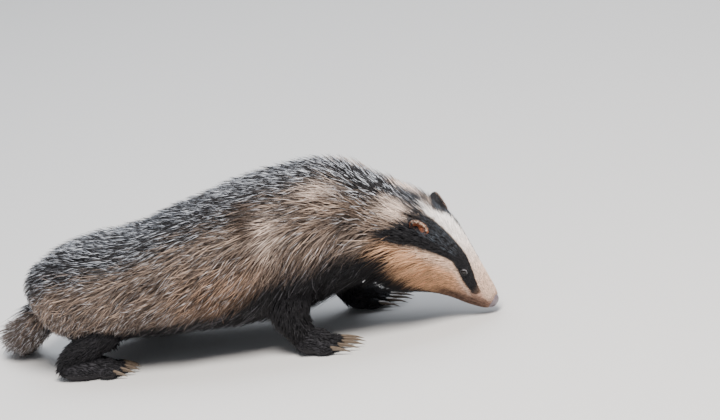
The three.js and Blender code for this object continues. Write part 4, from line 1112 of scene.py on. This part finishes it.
for side in SIDE_NAMES:
    centre, facing, corners, upper = eye_frame(side)
    rings = ball(centre, [corners, np.cross(facing, corners), facing], [EYE["radius"] - 0.1] * 3, 48, 48)
    eye = mesh_object(f"eyeball_{SIDE_NAMES[side]}", *closed_loft(rings[::-1]))
    v, _ = grid(np.linspace(np.pi - 0.02, 0.02, 48), 48)
    paint(eye, "pelt", with_ends(mixed(PUPIL, IRIS, smooth(0.36, 0.42, v) * smooth(0.80, 0.74, v))))
    eye.data.materials.append(eye_finish)
    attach(eye, "root")
    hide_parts(f"eye_{SIDE_NAMES[side]}")
    way = np.linspace(0, 2 * np.pi, RIM_TURNS, endpoint=False)
    a = np.where(np.cos(way) > 0, LID["front"], LID["back"]) * np.cos(way)
    b = np.sign(np.sin(way)) * lid_reach(a, np.sin(way) > 0)
    over = EYE["radius"] + 0.45
    c = np.sqrt(np.maximum(over**2 - a**2 - b**2, 0.5))
    line = centre + corners * a[:, None] + upper * b[:, None] + facing * c[:, None]
    ahead = unit(np.roll(line, -1, 0) - np.roll(line, 1, 0))
    outer = unit(line - centre)
    across = np.cross(ahead, outer)
    ring_turn = np.linspace(0, 2 * np.pi, RIM_SIDES, endpoint=False)
    size = (0.62 - 0.12 * np.abs(np.cos(way)) ** 4)[:, None]
    rim = (line[:, None] + outer[:, None] * (size * np.cos(ring_turn))[..., None] * 0.8
           + across[:, None] * (size * np.sin(ring_turn))[..., None])
    faces = sheet_faces(RIM_TURNS + 1, RIM_SIDES) % (RIM_TURNS * RIM_SIDES)
    lids = mesh_object(f"lid_rim_{SIDE_NAMES[side]}", rim.reshape(-1, 3), faces)
    # painted highlight: a pale crescent on the upper rim stands in for the glint of light on the wet eye
    crescent = smooth(0.25, 0.8, np.sin(way + 0.25))[:, None] * np.ones(RIM_SIDES)
    paint(lids, "pelt", mixed(LID_BLACK, LID_HIGHLIGHT_GREY, crescent))
    lids.data.materials.append(lid_skin)
    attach(lids, "root")
    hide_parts(f"eye_{SIDE_NAMES[side]}")

# Nose
# The bare leathery pad at the end of the snout, with a groove down its middle and comma-shaped nostrils
# turned out to the sides. Their hollows are painted darker by their depth, as painted shade.
NOSE = {"behind": 4.4, "height": -4.0, "radii": [6.3, 10.0, 8.2]}
nose_finish, tree, shader = material("moist nose leather", in_Roughness=0.38, in_Coat_Weight=0.35,
                                     in_Coat_Roughness=0.2)
where = node(tree, "ShaderNodeTexCoord")
pebble = node(tree, "ShaderNodeTexVoronoi", in_Scale=1300.0)
stain = node(tree, "ShaderNodeTexNoise", in_Scale=260.0, in_Detail=3.0)
tone = node(tree, "ShaderNodeMix", data_type="RGBA", in_6=(0.085, 0.055, 0.058, 1),
            in_7=(0.25, 0.20, 0.225, 1))
bump = node(tree, "ShaderNodeBump", in_Strength=0.5, in_Distance=0.0004)
# this attribute is painted shade, the nostril hollows darkened by their depth, not wetness
wet = node(tree, "ShaderNodeAttribute", attribute_name="pelt")
shaded = node(tree, "ShaderNodeMix", data_type="RGBA", blend_type="MULTIPLY", in_0=1.0)
wire(tree, (where, "Object", pebble, "Vector"), (where, "Object", stain, "Vector"),
     (stain, "Fac", tone, "Factor"), (tone, 2, shaded, 6), (wet, "Color", shaded, 7),
     (shaded, 2, shader, "Base Color"), (pebble, "Distance", bump, "Height"), (bump, 0, shader, "Normal"))
v, w = grid(np.linspace(0.02, np.pi - 0.02, 80), 96)
out, left, high = np.cos(v), np.sin(v) * np.cos(w), np.sin(v) * np.sin(w)
nostrils = []
for side in SIDE_NAMES:
    hollow = np.exp(-widths_off(left, side * 0.54, 0.17) - ((high - 0.02 + 0.25 * np.abs(left)) / 0.15) ** 2)
    slit = np.exp(-widths_off(left, side * 0.76, 0.20) - widths_off(high, -0.20, 0.11))
    nostrils.append((0.42 * hollow + 0.30 * slit) * smooth(-0.2, 0.2, out))
dark = nostrils[1] + nostrils[0]
groove = 0.10 * np.exp(-((left / 0.10) ** 2)) * smooth(-0.2, 0.3, out)
size = 1 - groove - dark
shape = np.stack([out, left, high], -1) * size[..., None] * np.array(NOSE["radii"])
rings = (on_head(NOSE["behind"], NOSE["height"]) + FORWARD * shape[..., :1] + SIDEWAYS * shape[..., 1:2]
         + UPWARD * shape[..., 2:])
pad = mesh_object("nose_pad", *closed_loft(rings[::-1]))
# painted shade: the pad darkened in the nostril hollows, by their depth
light = with_ends(1 - 0.9 * smooth(0.06, 0.3, dark)[::-1])
paint(pad, "pelt", np.repeat(light[..., None], 3, -1))
pad.data.materials.append(nose_finish)
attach(pad, "root")
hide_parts("nose")

# Claws
# The long digging claws of horn, fixed in the toes. They are the imported ones, which keep their shape and
# get a worn finish: dark streaks along them.
horn, tree, shader = material("worn horn", in_Roughness=0.42)
where = node(tree, "ShaderNodeTexCoord")
stretch = node(tree, "ShaderNodeMapping", in_Scale=(0.12, 1.0, 1.0))
streak = node(tree, "ShaderNodeTexNoise", in_Scale=900.0, in_Detail=4.0)
tone = node(tree, "ShaderNodeMix", data_type="RGBA", in_6=(0.030, 0.022, 0.018, 1),
            in_7=(0.20, 0.145, 0.10, 1))
bump = node(tree, "ShaderNodeBump", in_Strength=0.4, in_Distance=0.0004)
wire(tree, (where, "Object", stretch, "Vector"), (stretch, 0, streak, "Vector"),
     (streak, "Fac", tone, "Factor"), (tone, 2, shader, "Base Color"), (streak, "Fac", bump, "Height"),
     (bump, 0, shader, "Normal"))
for name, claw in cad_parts.items():
    if "claw" in name:
        claw.data.materials.clear()
        claw.data.materials.append(horn)

# Floor, light and camera
# A pale matt floor just under the soles, two big soft lights over the animal, and the camera to its right,
# turned a little towards the head and rolled. The lights' places are metres.
FLOOR_HALF = 9000.0
floor_points = FLOOR_HALF * np.array([[-1, -1, 0], [1, -1, 0], [1, 1, 0], [-1, 1, 0]])
floor = mesh_object("floor", floor_points - [0, 0, 1000 * ORIGIN[2] + 0.2], np.array([[0, 1, 2, 3]]))
pale, _, _ = material("pale floor", in_Base_Color=(0.62, 0.60, 0.58, 1), in_Roughness=0.9)
floor.data.materials.append(pale)
floor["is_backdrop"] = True

world = bpy.data.worlds.new("studio")
world.use_nodes = True
fill(world.node_tree.nodes["Background"], in_Color=(0.82, 0.88, 0.97, 1), in_Strength=0.47)
bpy.context.scene.world = world


def soft_light(name, place, size, power, colour):
    """A square area light at a place in metres, turned to the animal's middle."""
    lamp = bpy.data.lights.new(name, "AREA")
    lamp.size, lamp.energy, lamp.color = size, power, colour
    made = bpy.data.objects.new(name, lamp)
    bpy.context.scene.collection.objects.link(made)
    made.location = place
    made.rotation_euler = (Vector((0.05, 0.0, 0.1)) - Vector(place)).to_track_quat("-Z", "Y").to_euler()


soft_light("key", (0.7, -1.3, 2.4), 1.2, 178, (1.0, 0.97, 0.93))
soft_light("sky", (-0.7, 1.3, 2.5), 2.2, 78, (0.84, 0.91, 1.0))

AIM = np.array([202.5, 0.0, 142.6])
DISTANCE = 7060.0
azimuth, elevation, roll = (math.radians(angle) for angle in (20, 15, 12))
back = np.array([math.sin(azimuth) * math.cos(elevation), -math.cos(azimuth) * math.cos(elevation),
                 math.sin(elevation)])
right = np.array([math.cos(azimuth), math.sin(azimuth), 0.0])
up = np.cross(back, right)
lens = bpy.data.cameras.new("camera")
lens.lens, lens.sensor_width, lens.clip_end = 300.0, 36.0, 100.0
camera = bpy.data.objects.new("camera", lens)
bpy.context.scene.collection.objects.link(camera)
pose = np.eye(4)
pose[:3, 0] = right * math.cos(roll) - up * math.sin(roll)
pose[:3, 1] = right * math.sin(roll) + up * math.cos(roll)
pose[:3, 2] = back
pose[:3, 3] = (AIM + back * DISTANCE) / 1000 + ORIGIN
camera.matrix_world = Matrix(pose.tolist())
bpy.context.scene.camera = camera

low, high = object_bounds()
